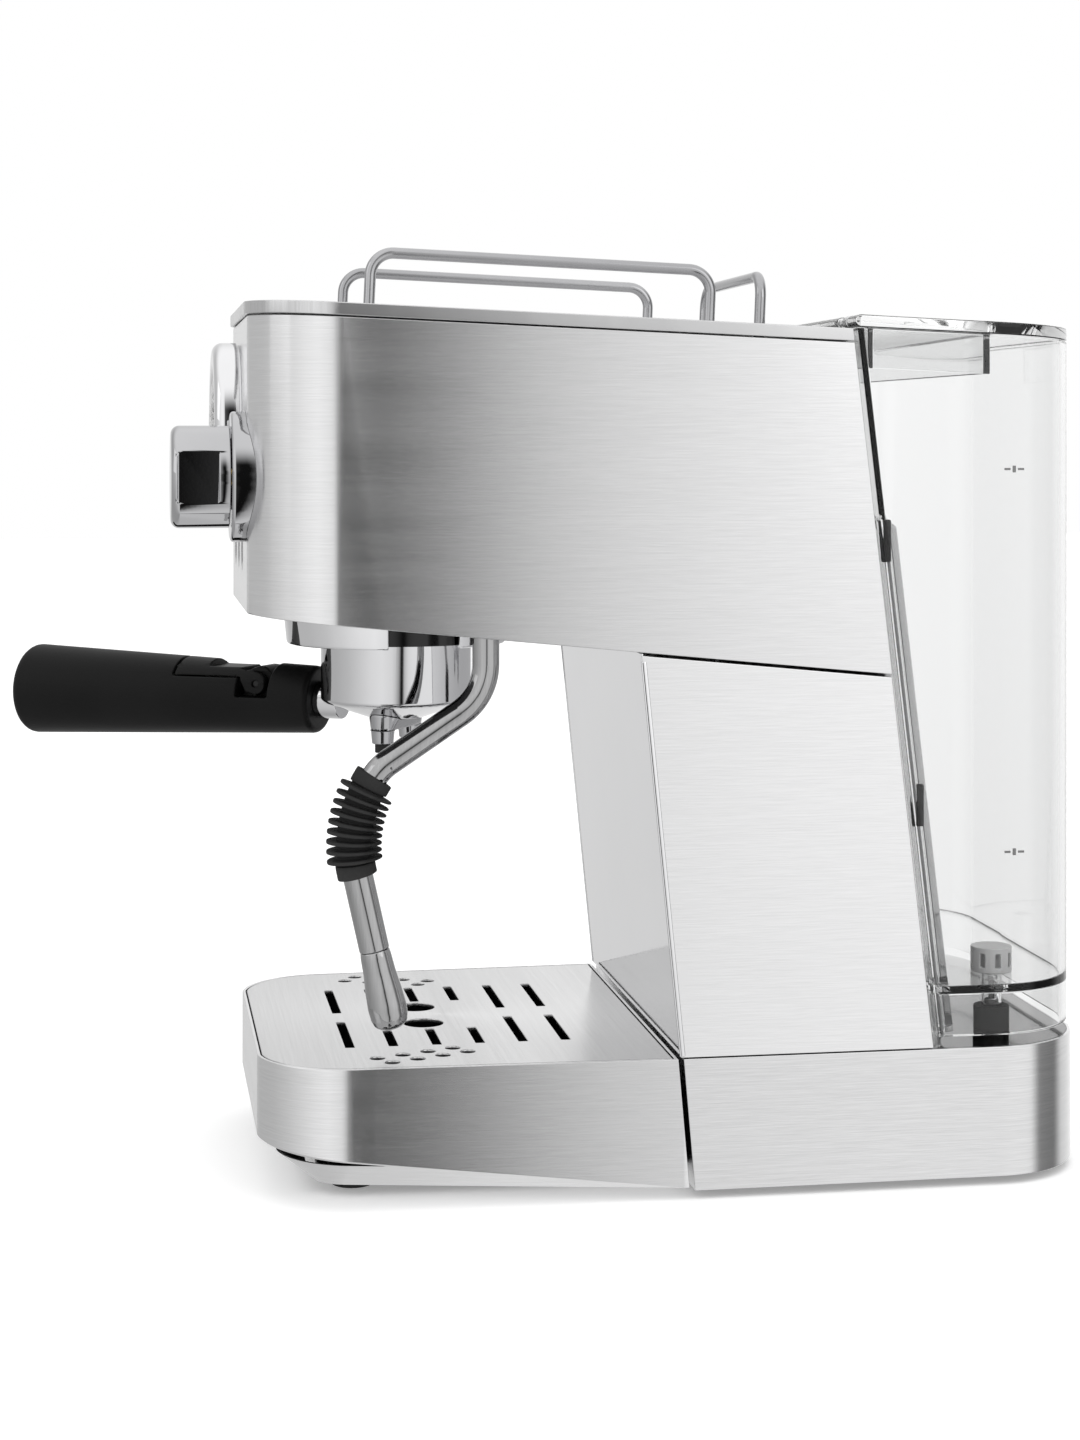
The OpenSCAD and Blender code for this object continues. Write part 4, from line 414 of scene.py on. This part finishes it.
def made(name, body, material):
    """The active object as a piece of its own: named, smoothed, and carried by its body."""
    smooth_angle = 35.0
    piece = bpy.context.object
    piece.name = name
    bpy.ops.object.transform_apply(location=True, rotation=True, scale=True)
    bpy.ops.object.shade_smooth_by_angle(angle=math.radians(smooth_angle))
    piece.data.materials.clear()
    piece.data.materials.append(material)
    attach(piece, body)
    return piece


def mirrored(piece, name, body):
    """The same piece on the other side, with its own mesh turned the right way out."""
    twin = bpy.data.objects.new(name, piece.data.copy())
    bpy.context.scene.collection.objects.link(twin)
    for corner in twin.data.vertices:
        corner.co.x = -corner.co.x
    twin.data.flip_normals()
    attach(twin, body)
    return twin


side_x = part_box("column_sides")[1][0]
outer_skin = 0.0001
side_corners = [
    corner.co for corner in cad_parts["column_sides"].data.vertices if corner.co.x > side_x - outer_skin]
fold_head = min(side_corners, key=lambda point: point.y)
fold_foot = min(side_corners, key=lambda point: (round(point.z, 4), point.y))
fold_lean = math.atan2(fold_foot.y - fold_head.y, fold_head.z - fold_foot.z)
bead_wide, bead_deep, bead_round = 0.0010, 0.0020, 0.00045
bead_back, bead_drop, bead_short = 0.0007, 0.0002, 0.0012
block(
    (side_x, (fold_head.y + fold_foot.y) / 2 + bead_back, (fold_head.z + fold_foot.z) / 2 - bead_drop),
    (bead_wide, bead_deep, (fold_head - fold_foot).length - bead_short), bead_round, 4, turn=(fold_lean, 0.0, 0.0))
bead = made("column_bead_right", "machine", bright_steel)
mirrored(bead, "column_bead_left", "machine")

# Rear panel
# The grey moulded back of the column, with the two rails that guide the tank.
panel_grey = moulded("panel_grey", (0.50, 0.50, 0.51), (0.56, 0.56, 0.57), 0.35, 0.45)
finished("rear_panel", "rear_panel_moulding", "machine", panel_grey, 0.0005)

# Chassis
# Folded zinc-plated sheet that stands on the base pan and carries the boiler, the pump and the group.
zinc_sheet = polished("zinc_sheet", (0.42, 0.43, 0.44), (0.58, 0.59, 0.60), 0.28, 0.45, size=60.0, depth=0.1)
finished("chassis", "chassis_sheet", "machine", zinc_sheet, 0.0003)

# Boiler
# A cast alloy boiler bolted over the group, left as it comes from the die.
die_cast = moulded("die_cast", (0.48, 0.48, 0.49), (0.60, 0.60, 0.61), 0.42, 0.6, grain=700.0, depth=0.3, metal=1.0)
finished("boiler", "boiler_casting", "machine", die_cast, 0.0008)

# Pump and its mounts
# A steel-cased vibration pump held between two rubber cushions in the base.
finished("pump", "pump_housing", "machine", zinc_sheet, 0.0006)
finished("pump_mounts", "pump_cushions", "machine", foot_rubber, 0.0006)

# Water hoses
# Milky silicone hoses from the tank's socket to the pump, the boiler, the steam valve and the wand.
hose_silicone = moulded("hose_silicone", (0.74, 0.74, 0.71), (0.82, 0.82, 0.79), 0.35, 0.5, grain=400.0, depth=0.05)
finished("water_hoses", "water_hose_set", "machine", hose_silicone, 0.0)

# Control board
# A green laminate board with its switches, behind the buttons.
board_laminate = moulded(
    "board_laminate", (0.015, 0.12, 0.04), (0.03, 0.18, 0.06), 0.25, 0.4, grain=1800.0, depth=0.1, coat=0.3)
finished("control_board", "control_board_laminate", "machine", board_laminate, 0.0002)

# Housing
# Stainless sheet wrapped round the front of the machine, brushed along its length, over a black moulded floor.
housing_steel = brushed("housing_steel", 0.76, 0.84, 0.19, 0.22)
corner_radius = 0.0318
housing_ease, tray_ease = 0.014, 0.007
housing_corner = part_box("housing_wrap")[0][1] + corner_radius
finished(
    "housing_wrap", "housing_sheet", "machine", housing_steel, 0.00035,
    bends=((housing_corner, housing_corner + housing_ease),))
finished("housing_floor", "housing_floor_moulding", "machine", pan_black, 0.0004)

# Top plate
# A satin stainless plate that cups are warmed on, folded down at its rim.
top_satin = brushed("top_satin", 0.62, 0.72, 0.22, 0.28, run=(900.0, 12.0, 12.0), depth=0.08)
finished("top_plate", "top_plate_sheet", "machine", top_satin, 0.0004)

# Cup rails
# Bent round wire, polished, with its ends through the top plate.
rail_steel = polished("rail_steel", (0.40, 0.40, 0.41), (0.50, 0.50, 0.51), 0.12, 0.18)
finished("side_rails", "side_rail_wires", "machine", rail_steel, 0.0)
finished("rear_rail", "rear_rail_wire", "machine", rail_steel, 0.0)

# Group
# A chromed shroud hides the dark-plated group head; below it a gasket, a perforated screen and its screw.
plated = polished("plated_chrome", (0.78, 0.78, 0.79), (0.84, 0.84, 0.85), 0.02, 0.05)
finished("group_shroud", "group_shroud_plated", "machine", plated, 0.0004)
group_dark = polished("group_dark_plating", (0.03, 0.03, 0.03), (0.05, 0.05, 0.05), 0.10, 0.2)
finished("group_head", "group_head_casting", "machine", group_dark, 0.0003)
gasket_rubber = moulded("gasket_rubber", (0.03, 0.022, 0.018), (0.045, 0.035, 0.03), 0.6, 0.75, grain=900.0)
finished("group_gasket", "group_gasket_ring", "machine", gasket_rubber, 0.0003)
finished("shower_screen", "shower_screen_disc", "machine", bright_steel, 0.0001)
finished("screen_screw", "screen_screw_turned", "machine", bright_steel, 0.0002)

# Pressure gauge
# A chromed bezel clamps a clear lens over a black dial; the steel case passes through the housing.
# The dial carries a printed scale of plain numbers, and the red needle sweeps over it.
finished("gauge_bezel", "gauge_bezel_plated", "machine", plated, 0.0002)
finished("gauge_case", "gauge_case_drawn", "machine", zinc_sheet, 0.0002)
dial_black = moulded("dial_black", (0.014, 0.014, 0.015), (0.02, 0.02, 0.021), 0.5, 0.6, grain=1200.0, depth=0.05)
finished("gauge_dial", "gauge_dial_plate", "machine", dial_black, 0.0001)
needle_paint = moulded("needle_paint", (0.60, 0.03, 0.02), (0.68, 0.05, 0.03), 0.3, 0.4, grain=900.0, depth=0.04)
finished("gauge_needle", "gauge_needle_blade", "needle", needle_paint, 0.00005)

dial_low, dial_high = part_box("gauge_dial")
ink_height = 0.0001
dial_centre = Vector(((dial_low[0] + dial_high[0]) / 2, dial_low[1] - ink_height, (dial_low[2] + dial_high[2]) / 2))
dial_sweep, divisions, numbered_every = 270.0, 16, 4
scale_radius, figure_radius = 0.0186, 0.0122
dial_paint = moulded("dial_paint", (0.78, 0.78, 0.76), (0.84, 0.84, 0.82), 0.45, 0.55, grain=1500.0, depth=0.03)


def on_dial(radius, angle):
    """The point of the dial's face at a radius, and at an angle from the top towards the right."""
    return dial_centre + Vector((radius * math.sin(angle), 0.0, radius * math.cos(angle)))


def joined(parts):
    """The parts made into one object, which is left active."""
    bpy.ops.object.select_all(action="DESELECT")
    for part in parts:
        part.select_set(True)
    bpy.context.view_layer.objects.active = parts[0]
    bpy.ops.object.join()


marks = []
for step in range(divisions + 1):
    angle = math.radians(step * dial_sweep / divisions - dial_sweep / 2)
    numbered = step % numbered_every == 0
    length, width = (0.0036, 0.0008) if numbered else (0.0022, 0.0004)
    marks.append(block(
        on_dial(scale_radius - length / 2, angle), (width, 0.0003, length), 0.0001, 1, turn=(0.0, angle, 0.0)))
    if numbered:
        bpy.ops.object.select_all(action="DESELECT")
        bpy.ops.object.text_add()
        figure = bpy.context.object
        figure.data.body = str(step)
        figure.data.size = 0.0042
        figure.data.extrude = 0.00015
        figure.data.align_x = "CENTER"
        figure.data.align_y = "CENTER"
        bpy.ops.object.convert(target="MESH")
        figure = bpy.context.object
        figure.rotation_euler = (math.pi / 2, 0.0, 0.0)
        figure.location = on_dial(figure_radius, angle)
        bpy.ops.object.transform_apply(location=True, rotation=True, scale=True)
        marks.append(figure)
joined(marks)
made("gauge_dial_marks", "machine", dial_paint)


def clear(name, tone, rough_low, rough_high, ior):
    """Clear moulded plastic with a faint handling haze."""
    material, nodes, wire, skin, surface = textured(
        name, hand_haze, {"Transmission Weight": 1.0, "IOR": ior}, {"Size": 20.0})
    place = nodes.new("ShaderNodeTexCoord")
    wire(place.outputs["Object"], surface.inputs["Place"])
    drifting(
        nodes, wire, skin, [surface.outputs["Haze"]], (tone * 0.99, tone * 0.995, tone * 0.995), (tone, tone, tone),
        (0.0, 1.0), rough_low, rough_high, (0.4, 0.8))
    return material


lens_clear = clear("lens_clear", 0.97, 0.0, 0.01, 1.4)
finished("gauge_glass", "gauge_lens", "machine", lens_clear, 0.0)

# Steam knob and valve
# A chromed collar follows the housing round its corner; the knob has two flats for the fingers.
# It turns a brass stem in the valve body behind the housing.
knob_chrome = polished("knob_chrome", (0.50, 0.50, 0.51), (0.56, 0.56, 0.57), 0.02, 0.05)
finished("knob_collar", "knob_collar_plated", "machine", knob_chrome, 0.0001)
finished("steam_knob", "steam_knob_turned", "knob", knob_chrome, 0.0004)
brass = polished("turned_brass", (0.60, 0.42, 0.16), (0.70, 0.51, 0.22), 0.18, 0.3, size=40.0)
finished("valve_stem", "valve_stem_turned", "knob", brass, 0.0002)
finished("steam_valve", "steam_valve_body", "machine", brass, 0.0004)

# Push buttons
# Three spun steel caps with dished faces that stand flush with the housing's front, each on its plunger.
cap_steel = polished("cap_steel", (0.55, 0.55, 0.56), (0.66, 0.66, 0.67), 0.16, 0.24)
dish_rim, dish_slope, dish_depth = 0.0011, 0.0005, 0.0004
for word in ("power", "coffee", "steam"):
    button = finished(word + "_button", word + "_button_cap", word, cap_steel, 0.0004)
    face_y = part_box(word + "_button")[0][1]
    bpy.ops.object.mode_set(mode="EDIT")
    bpy.ops.mesh.select_all(action="DESELECT")
    bpy.ops.object.mode_set(mode="OBJECT")
    for side in button.data.polygons:
        side.select = side.normal.y < -0.98 and side.center.y < face_y + 0.0001
    bpy.ops.object.mode_set(mode="EDIT")
    bpy.ops.mesh.select_mode(type="FACE")
    bpy.ops.mesh.inset(thickness=dish_rim, depth=0.0)
    bpy.ops.mesh.inset(thickness=dish_slope, depth=-dish_depth)
    bpy.ops.object.mode_set(mode="OBJECT")

# Portafilter
# A chromed brass bowl with its steel basket, a twin spout and a matt black moulded grip on a turned stud.
bowl_chrome = polished("bowl_chrome", (0.66, 0.66, 0.67), (0.72, 0.72, 0.73), 0.04, 0.07)
finished("portafilter_body", "portafilter_bowl", "portafilter", bowl_chrome, 0.0004)
finished("filter_basket", "filter_basket_drawn", "basket", bright_steel, 0.0001)
finished("basket_spring", "basket_spring_wire", "basket", rail_steel, 0.0)
spout_chrome = polished("spout_chrome", (0.40, 0.40, 0.41), (0.48, 0.48, 0.49), 0.06, 0.10)
finished("twin_spout", "twin_spout_plated", "portafilter", spout_chrome, 0.0003)
finished("spout_tips", "spout_tip_rubbers", "portafilter", foot_rubber, 0.0003)
finished("handle_stud", "handle_stud_turned", "portafilter", bright_steel, 0.0002)
grip_black = moulded(
    "grip_black", (0.004, 0.004, 0.004), (0.007, 0.007, 0.007), 0.40, 0.50, grain=1600.0, depth=0.2, shine=0.12)
finished("handle_grip", "handle_grip_moulding", "portafilter", grip_black, 0.0006)
finished("basket_lever", "basket_lever_moulding", "lever", grip_black, 0.0005)
blackened = polished("blackened_pin", (0.03, 0.03, 0.03), (0.05, 0.05, 0.05), 0.3, 0.4)
finished("lever_pin", "lever_pin_turned", "portafilter", blackened, 0.0002)

# Steam wand
# A bent satin pipe on a ball joint, with a ribbed rubber boot to hold it by.
# Below the boot a frothing tube of the same steel ends in its turned nozzle.
wand_steel = brushed("wand_steel", 0.38, 0.45, 0.07, 0.11, run=(400.0, 400.0, 14.0), depth=0.05, stretch=0.3)
finished("wand_nut", "wand_nut_plated", "machine", plated, 0.0004)
finished("wand_pipe", "wand_pipe_bent", "wand", wand_steel, 0.0)
finished("wand_boot", "wand_boot_rubber", "wand", foot_rubber, 0.0004)
finished("froth_tube", "froth_tube_steel", "wand", wand_steel, 0.0004)
finished("froth_nozzle", "froth_nozzle_turned", "wand", wand_steel, 0.0005)

# Drip tray
# A brushed steel tray front with faceted lower corners, its black basin and the slotted plate that cups stand on.
tray_steel = brushed("tray_steel", 0.75, 0.84, 0.18, 0.21)
tray_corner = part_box("drip_tray")[0][1] + corner_radius
finished(
    "drip_tray", "drip_tray_sheet", "tray", tray_steel, 0.00025,
    bends=((tray_corner, tray_corner + tray_ease),))
finished("drip_basin", "drip_basin_moulding", "tray", pan_black, 0.0004)
grid_steel = brushed("grid_steel", 0.62, 0.70, 0.16, 0.22, run=(12.0, 900.0, 12.0), depth=0.06)
finished("drip_grid", "drip_grid_sheet", "grid", grid_steel, 0.0003)

# Water tank
# One clear moulding with thick edges, channels for the guide rails and two hinge ears, under a clear lid.
# Its side is printed with two level marks, and small rubber pads stop it rattling on the guide rails.
tank_clear = clear("tank_clear", 0.968, 0.0, 0.02, 1.36)
finished("water_tank", "water_tank_moulding", "tank", tank_clear, 0.0005)
lid_clear = clear("lid_clear", 0.96, 0.0, 0.02, 1.42)
finished("tank_lid", "tank_lid_moulding", "lid", lid_clear, 0.0005)
finished("lid_pin", "lid_pin_pair", "lid", bright_steel, 0.0002)

ink_grey = moulded("ink_grey", (0.16, 0.16, 0.16), (0.22, 0.22, 0.22), 0.5, 0.6)
tank_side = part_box("water_tank")[1][0]
full_mark, low_mark = 0.2515, 0.1167
dash, stroke, stroke_tall = 0.0022, 0.0012, 0.0024
ticks = []
for height in (full_mark, low_mark):
    for start, width, tall in ((0.1128, dash, 0.0008), (0.1158, stroke, stroke_tall), (0.1178, dash, 0.0008)):
        ticks.append(block((tank_side - 0.0001, start + width / 2, height), (0.0004, width, tall), 0.0001, 1))
joined(ticks)
made("tank_level_ticks", "tank", ink_grey)
pad_size, pad_inset = (0.0022, 0.0026, 0.0148), 0.0036
for number, (height, depth) in enumerate(((0.2264, 0.0708), (0.1335, 0.0827)), start=1):
    block((tank_side - pad_inset, depth, height), pad_size, 0.0005, 2)
    pad = made("tank_pad_right_%d" % number, "tank", foot_rubber)
    mirrored(pad, "tank_pad_left_%d" % number, "tank")

# Tank valve
# A rubber poppet under a steel spring shuts the outlet when the tank is lifted.
# A pale slotted cap over the outlet keeps scale out.
finished("tank_valve", "tank_valve_poppet", "valve", foot_rubber, 0.0002)
finished("valve_spring", "valve_spring_coil", "tank", rail_steel, 0.0)
strainer_white = moulded("strainer_white", (0.72, 0.72, 0.72), (0.78, 0.78, 0.78), 0.35, 0.45)
finished("intake_filter", "intake_filter_cap", "tank", strainer_white, 0.0003)
